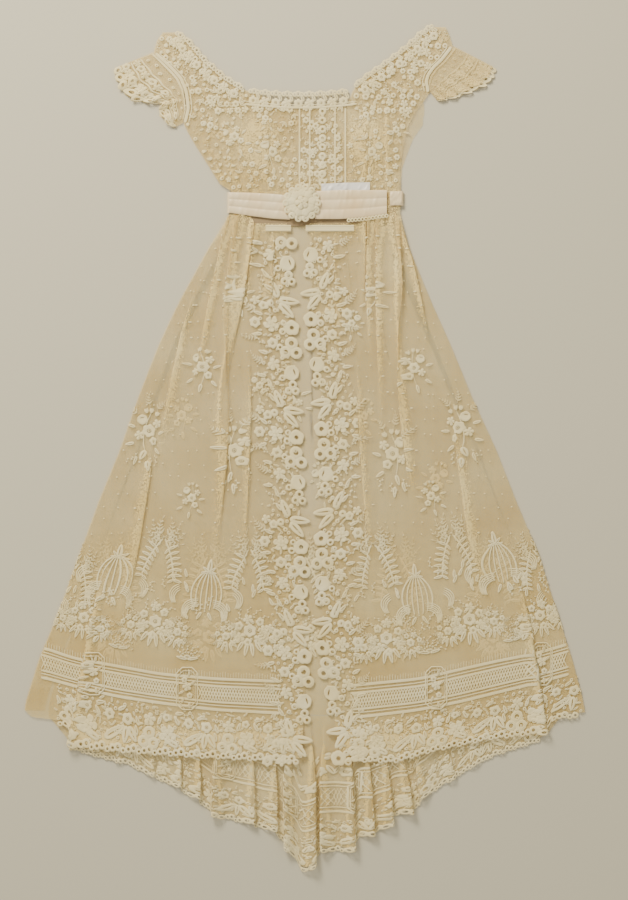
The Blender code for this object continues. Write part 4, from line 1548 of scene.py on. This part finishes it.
def lay_sleeve(side):
    """x is the length along the seam from the shoulder fold, less than 0 on the under half. y is the way
    from the cuff (0) to the seam."""
    table = SLEEVES[side]
    out = SIGN[side]
    ends = np.linspace(0, SLEEVE_LONG, len(table))
    bend_reach = 6.0

    def lay(x, y):
        length = np.clip(np.abs(x) - bend_reach, 0, SLEEVE_LONG)
        share = 1 - y / SLEEVE_WIDE
        columns = [np.interp(length, ends, [getattr(row, key) for row in table]) for key in Sleeve._fields]
        seam_x, seam_y, cuff_x, cuff_y = columns
        place_x = lerp(seam_x + out * 0.9, cuff_x, share)
        place_y = lerp(seam_y, cuff_y, share)
        turn = np.clip(x / bend_reach, -1, 1)
        radius = 1.2
        place_y = place_y + radius * np.cos(turn * np.pi / 2)
        ruffle = 2.0 * share * smooth(length / 50) * (1 + np.sin(length * 2 * np.pi / 26)) * (x > 0)
        lean = 4.0 * share * smooth(length / 50) * np.cos(length * 2 * np.pi / 26) * (x > 0)
        z = FLOOR + radius * (1 + np.sin(turn * np.pi / 2)) + ruffle
        return place_x + lean, place_y, z

    return lay


def sleeve_net(side):
    reach = SLEEVE_LONG + 6
    under, over = np.linspace(-reach, -6, 40), np.linspace(6, reach, 80)
    along_x = np.concatenate([under, np.linspace(-4.5, 4.5, 7), over])
    x, y = np.meshgrid(along_x, np.linspace(3, SLEEVE_WIDE, 30))
    return lay_grid(f"sleeve_{side}_net", x, y, lay_sleeve(side), NET)


def sleeve_lace(side):
    work = Work()
    pen = Pen(work)
    for hand in (-1, 1):
        for i, x in enumerate(np.arange(12, SLEEVE_LONG, 15)):
            ring(pen.go(hand * x + 3j), 8.5, 0.42)
            (rose if i % 2 else blossom)(pen.go(hand * x + 20j, 30 * i), 9)
            leaf(pen.go(hand * (x + 7) + 8j, 10), 18, 8)
        xs = hand * np.linspace(8, SLEEVE_LONG, 40)
        for level, width in ((32, 3.0), (52, 3.0), (77, 4.0)):
            pen.cord(xs + 1j * level, width, 0.8)
        for i, x in enumerate(np.arange(14, SLEEVE_LONG, 14)):
            (blossom if i % 2 else rose)(pen.go(hand * x + 42j, 20 * i), 8)
        for i, x in enumerate(np.arange(18, SLEEVE_LONG, 16)):
            ring(pen.go(hand * x + (62 + 5 * (i % 2)) * 1j), 3.4, 0.3, 8)
    return work.laid(f"sleeve_{side}_lace", lay_sleeve(side), LACE)


SLEEVE_NETS = {side: sleeve_net(side) for side in ("left", "right")}
SLEEVE_LACE = {side: sleeve_lace(side) for side in ("left", "right")}

# %% [markdown]
# ## The belt
# The belt is a silk ribbon laid in three pleats. Each pleat is a rounded step with a shaded trough under
# it, and silk also breaks into fine cross creases, uneven in length. The ribbon is a fine grid, because
# its gloss shows every facet.

# %% Ribbon pieces
Ribbon = namedtuple("Ribbon", "x low high")
BELT_LEFT = (Ribbon(-26, 436, 482), Ribbon(-60, 438, 485), Ribbon(-100, 443, 487), Ribbon(-141, 449, 488))
BELT_RIGHT = (Ribbon(22, 437, 490), Ribbon(70, 437, 492), Ribbon(120, 441, 492), Ribbon(158, 447, 492))
BELT_END = (Ribbon(164, 463, 490), Ribbon(186, 463, 490))
SATIN_FOLD = (Ribbon(34, 480, 504), Ribbon(80, 480, 506), Ribbon(126, 480, 507))
BELT_BACK = (Ribbon(-132.4, 444, 489), Ribbon(20, 440, 491), Ribbon(177.4, 463, 490))
WAIST_TAPE = (Ribbon(-126, 430, 462), Ribbon(-10, 424, 462), Ribbon(176, 432, 462))
EDGING = (Ribbon(84, 431, 437.5), Ribbon(118, 434, 440.3), Ribbon(158, 440, 446.5))
BELT_FRONT = FRONT + 2.4 + LAYER + 0.2


def lay_ribbon(table, base, pleats, seed, crease=0.5, under=0.0):
    """x along the ribbon in millimetres, y a share from its lower to its upper edge."""
    draw = np.random.default_rng(seed)
    reach = sorted((table[0].x, table[-1].x))
    breaks = [(draw.uniform(*reach), draw.uniform(0, 1), draw.uniform(3, 8)) for _ in range(26)]
    end = table[-1].x
    out = math.copysign(1, end - table[0].x)

    def lay(x, y):
        inside = np.where(out * x > out * end, end, x)
        top = lerp(read(table, inside, "x", "low"), read(table, inside, "x", "high"), y)
        step = (y * pleats) % 1.0
        z = base + (1.5 * np.sin(np.pi * np.clip(step, 0, 1)) ** 0.6 if pleats else 0 * y)
        for at, share, wide in breaks:
            z = z + crease * ridge((x - at - 9 * (y - share)) / wide) * ridge((y - share) / 0.3)
        past = np.maximum(out * (x - end), 0.0)
        if under:
            radius = (base - FLOOR) / 2
            angle = np.minimum(past / radius, np.pi)
            x_laid = inside + out * (radius * np.sin(angle) - np.maximum(past - np.pi * radius, 0))
            z = np.where(past > 0, FLOOR + radius * (1 + np.cos(angle)), z)
            return x_laid, top, z
        return x, top, z

    return lay


def ribbon(name, table, base, pleats, material, seed, crease=0.5, under=0.0):
    out = math.copysign(1, table[-1].x - table[0].x)
    xs = np.linspace(table[0].x, table[-1].x, 90)
    if under:
        radius = (base - FLOOR) / 2
        xs = np.concatenate([xs, table[-1].x + out * np.linspace(1, np.pi * radius + under, 16)])
    x, y = np.meshgrid(xs, np.linspace(0, 1, 41))
    return lay_grid(name, x, y, lay_ribbon(table, base, pleats, seed, crease, under), material)


BELT = {
    "belt_left": ribbon("belt_left_ribbon", BELT_LEFT, BELT_FRONT, 3, RIBBON, 1, 0.5, 8),
    "belt_right": ribbon("belt_right_ribbon", BELT_RIGHT, BELT_FRONT + LAYER, 3, RIBBON, 2),
    "belt_end": ribbon("belt_end_ribbon", BELT_END, BELT_FRONT, 1, RIBBON, 3, 0.3, 8),
    "belt_satin_fold": ribbon("belt_satin", SATIN_FOLD, BELT_FRONT, 0, SATIN, 4, 0.8),
    "belt_back": ribbon("belt_back_ribbon", BELT_BACK, FLOOR, 0, RIBBON, 5, 0.2),
    "waist_tape": ribbon("waist_tape_band", WAIST_TAPE, FLOOR + 2 * LAYER, 0, TAPE, 6, 0.2),
}


def edging():
    work = Work()
    pen = Pen(work)
    for i, x in enumerate(np.arange(86, 158, 6.5)):
        y = lerp(read(EDGING, x, "x", "low"), read(EDGING, x, "x", "high"), 0.5)
        ring(pen.go(complex(x, y)), 4.2, 0.4, 8)

    def lay(x, y):
        return x, y, BELT_FRONT + LAYER + 0 * x

    return work.laid("belt_edging_lace", lay, LACE, 0.3)


EDGING_LACE = edging()

# %% [markdown]
# The rosette over the fastening is lace gathered into two ruffs round a button of flowers. A ruff is a
# disc whose rim waves up and down; rings and petals are drawn on the disc and wave with it.

# %% Rosette
ROSETTE = complex(-3, 467)
ROSETTE_RADIUS = 36.0
ROSETTE_BASE = FRONT + 2.4 + 2 * LAYER + 4.0


def lay_rosette(x, y):
    z = x + 1j * y - ROSETTE
    reach = np.abs(z) / ROSETTE_RADIUS
    angle = np.angle(z)
    wave = np.cos(6 * angle + 0.5)
    height = ROSETTE_BASE + 4.5 * (1 - reach) + 0.8 * wave * reach
    ruff = 1.1 * np.abs(np.sin(9 * angle)) * reach * reach
    return x + 0 * ruff, y + 0 * x, height + ruff


def rosette():
    work = Work()
    pen = Pen(work, ROSETTE)
    angles = np.linspace(0, 2 * np.pi, 73)[:-1]
    rim = ROSETTE_RADIUS * 0.86 * np.exp(1j * angles)
    pen.work.rows([pen.put(rim), pen.put(rim * 0.5), pen.put(rim * 0.02)], (0.0, 0.0, 0.0), True)
    for i in range(14):
        ring(pen.go(30 * np.exp(2j * np.pi * i / 14)), 7.0, 0.4)
    for i in range(9):
        here = pen.go(0j, 40 * i)
        Lifted(here, 1.0).go(19j).cloth(lobed(8, 5, 0.2, 20), 0j)
    rose(Lifted(pen, 2.2), 13)
    return work.laid("belt_rosette_lace", lay_rosette, LACE, 0.2)


ROSETTE_LACE = rosette()

# %% [markdown]
# The skirt's top is caught in a narrow casing, a double line of net just under the belt.

# %% Casings
def casing(side):
    out = SIGN[side]
    work = Work()
    start = float(read(FRONT_EDGES, 428, "y", side)) + out * 4
    end = out * (72 if side == "left" else 96)
    xs = np.linspace(start, end, 30)
    pen = Pen(work)
    pen.cord(xs + 1j * (PANEL_TOP - 5), 3.0, 0.9)
    pen.cord(xs + 1j * (PANEL_TOP - 13), 2.4, 0.8)
    band = [pen.put(xs + 1j * (PANEL_TOP - below)) for below in (3, 15)]
    pen.work.rows(band, (0.1, 0.1), False)
    return work.laid(f"skirt_casing_{side}_band", lay_front(side), LACE, 1.2)


CASINGS = {side: casing(side) for side in ("left", "right")}

# %% [markdown]
# ## Which piece stands for what
# Every piece rides on the one body. Each plain solid of the model gives way
# to the cloth made here, and each sheet states the flat size it was cut to.

# %% Riding and replaced solids
for piece in MADE:
    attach(piece, "root")

for side in ("left", "right"):
    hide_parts(f"skirt_front_{side}")
    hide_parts(f"front_border_{side}")
    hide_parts(f"insertion_{side}")
    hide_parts(f"hem_border_{side}")
    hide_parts(f"skirt_casing_{side}")
    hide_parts(f"bodice_front_{side}")
    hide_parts(f"bodice_back_{side}")
    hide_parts(f"neck_border_{side}")
    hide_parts(f"armhole_binding_{side}")
    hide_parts(f"sleeve_{side}")
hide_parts("skirt_back")
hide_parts("train_flounce")
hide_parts("bodice_centre")
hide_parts("neck_border_front")
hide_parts("belt_edging")
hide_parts("belt_rosette")
for name, piece in BELT.items():
    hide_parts(name)


# %% Flat sizes
def cut(piece, width, length, held, share, rests_on, with_pieces=()):
    """A sheet's flat width and length in millimetres. The share of that rectangle which is cloth is not used.
    """
    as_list(rests_on)
    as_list(with_pieces)
    print(f"{piece.name}: cut {width} x {length} mm, laid area {surface_area(piece):.3f} square metres")


for side in ("left", "right"):
    with_front = (FRONT_LACE[side], FRONT_BORDERS[side], INSERTIONS[side], HEM_BORDERS[side], CASINGS[side])
    cut(FRONT_NET[side], 640, 1060, "gathered", 0.65, [BACK_NET], with_front)
    with_bodice = (BODICE_LACE[side], NECK_SIDES[side], ARMHOLES[side])
    cut(BODICE_FRONT[side], 300, 360, "laid", 0.45, [BODICE_BACK[side]], with_bodice)
    cut(BODICE_BACK[side], 300, 360, "laid", 0.45, ["floor"], (BODICE_BACK_LACE[side],))
    cut(SLEEVE_NETS[side], 320, 76, "folded", 0.7, ["floor"], (SLEEVE_LACE[side],))
cut(BACK_NET, 1000, 960, "laid", 0.72, ["floor"], (BACK_LACE,))
cut(TRAIN_NET, 1200, 300, "gathered", 0.5, ["floor"], (TRAIN_LACE,))
cut(CENTRE_NET, 90, 214, "laid", 1.0, [BODICE_BACK["left"]], (CENTRE_LACE, NECK_FRONT))
cut(BELT["belt_left"], 150, 66, "laid", 0.8, [BODICE_FRONT["left"]], (ROSETTE_LACE,))
cut(BELT["belt_right"], 140, 70, "laid", 0.9, [BODICE_FRONT["right"]], (EDGING_LACE,))
cut(BELT["belt_end"], 44, 32, "folded", 1.0, [BODICE_FRONT["right"]])
cut(BELT["belt_satin_fold"], 94, 28, "laid", 1.0, [BODICE_FRONT["right"]])
cut(BELT["belt_back"], 312, 46, "laid", 0.9, ["floor"])
cut(BELT["waist_tape"], 304, 36, "laid", 0.95, [BACK_NET])

# %% [markdown]
# ## Setting
# A pale floor, one large soft light from the top left, and a dim even sky. The camera looks straight
# down, as over a cutting table.

# %% Floor, light and camera
FLOOR_REACH = 8.0  # metres each way from the middle
FLOOR_Z = -0.0006  # just under the cloth, so that the two don't share a plane


def floor():
    mesh = bpy.data.meshes.new("floor")
    corners = [(x * FLOOR_REACH, y * FLOOR_REACH, FLOOR_Z) for x, y in ((-1, -1), (1, -1), (1, 1), (-1, 1))]
    mesh.from_pydata(corners, [], [(0, 1, 2, 3)])
    made, tree = new_material("floor")
    paint = {"Base Color": (0.66, 0.605, 0.435, 1), "Roughness": 0.95}
    shader = node(tree, "ShaderNodeBsdfPrincipled", paint)
    shader.inputs["Specular IOR Level"].default_value = 0.1
    tree.links.new(shader.outputs["BSDF"], node(tree, "ShaderNodeOutputMaterial").inputs["Surface"])
    mesh.materials.append(made)
    piece = bpy.data.objects.new("floor", mesh)
    bpy.context.scene.collection.objects.link(piece)


def area_light(name, place, target, size, power, colour):
    light = bpy.data.lights.new(name, "AREA")
    light.size = size
    light.energy = power
    light.color = colour
    made = bpy.data.objects.new(name, light)
    made.location = place
    way = np.subtract(target, place)
    flat = math.hypot(way[0], way[1])
    made.rotation_euler = (math.atan2(flat, -way[2]), 0, math.atan2(way[1], way[0]) - math.pi / 2)
    bpy.context.scene.collection.objects.link(made)


floor()
area_light("window", (-1.5, 3.0, 2.3), (0, 0, 0), 1.3, 205, (1.0, 0.96, 0.89))
world = bpy.data.worlds.new("sky")
world.use_nodes = True
world.node_tree.nodes["Background"].inputs["Color"].default_value = (1.0, 0.97, 0.90, 1)
world.node_tree.nodes["Background"].inputs["Strength"].default_value = 0.66
bpy.context.scene.world = world

camera = bpy.data.cameras.new("camera")
camera.lens = 85
camera.sensor_width = 36
camera.sensor_fit = "VERTICAL"
camera.sensor_height = 36
eye = bpy.data.objects.new("camera", camera)
eye.location = (0.01995, -0.00095, 4.0375)
bpy.context.scene.collection.objects.link(eye)
bpy.context.scene.camera = eye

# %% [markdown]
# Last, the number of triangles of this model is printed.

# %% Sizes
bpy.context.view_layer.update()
print("triangles:", sum(len(polygon.vertices) - 2 for piece in MADE for polygon in piece.data.polygons))
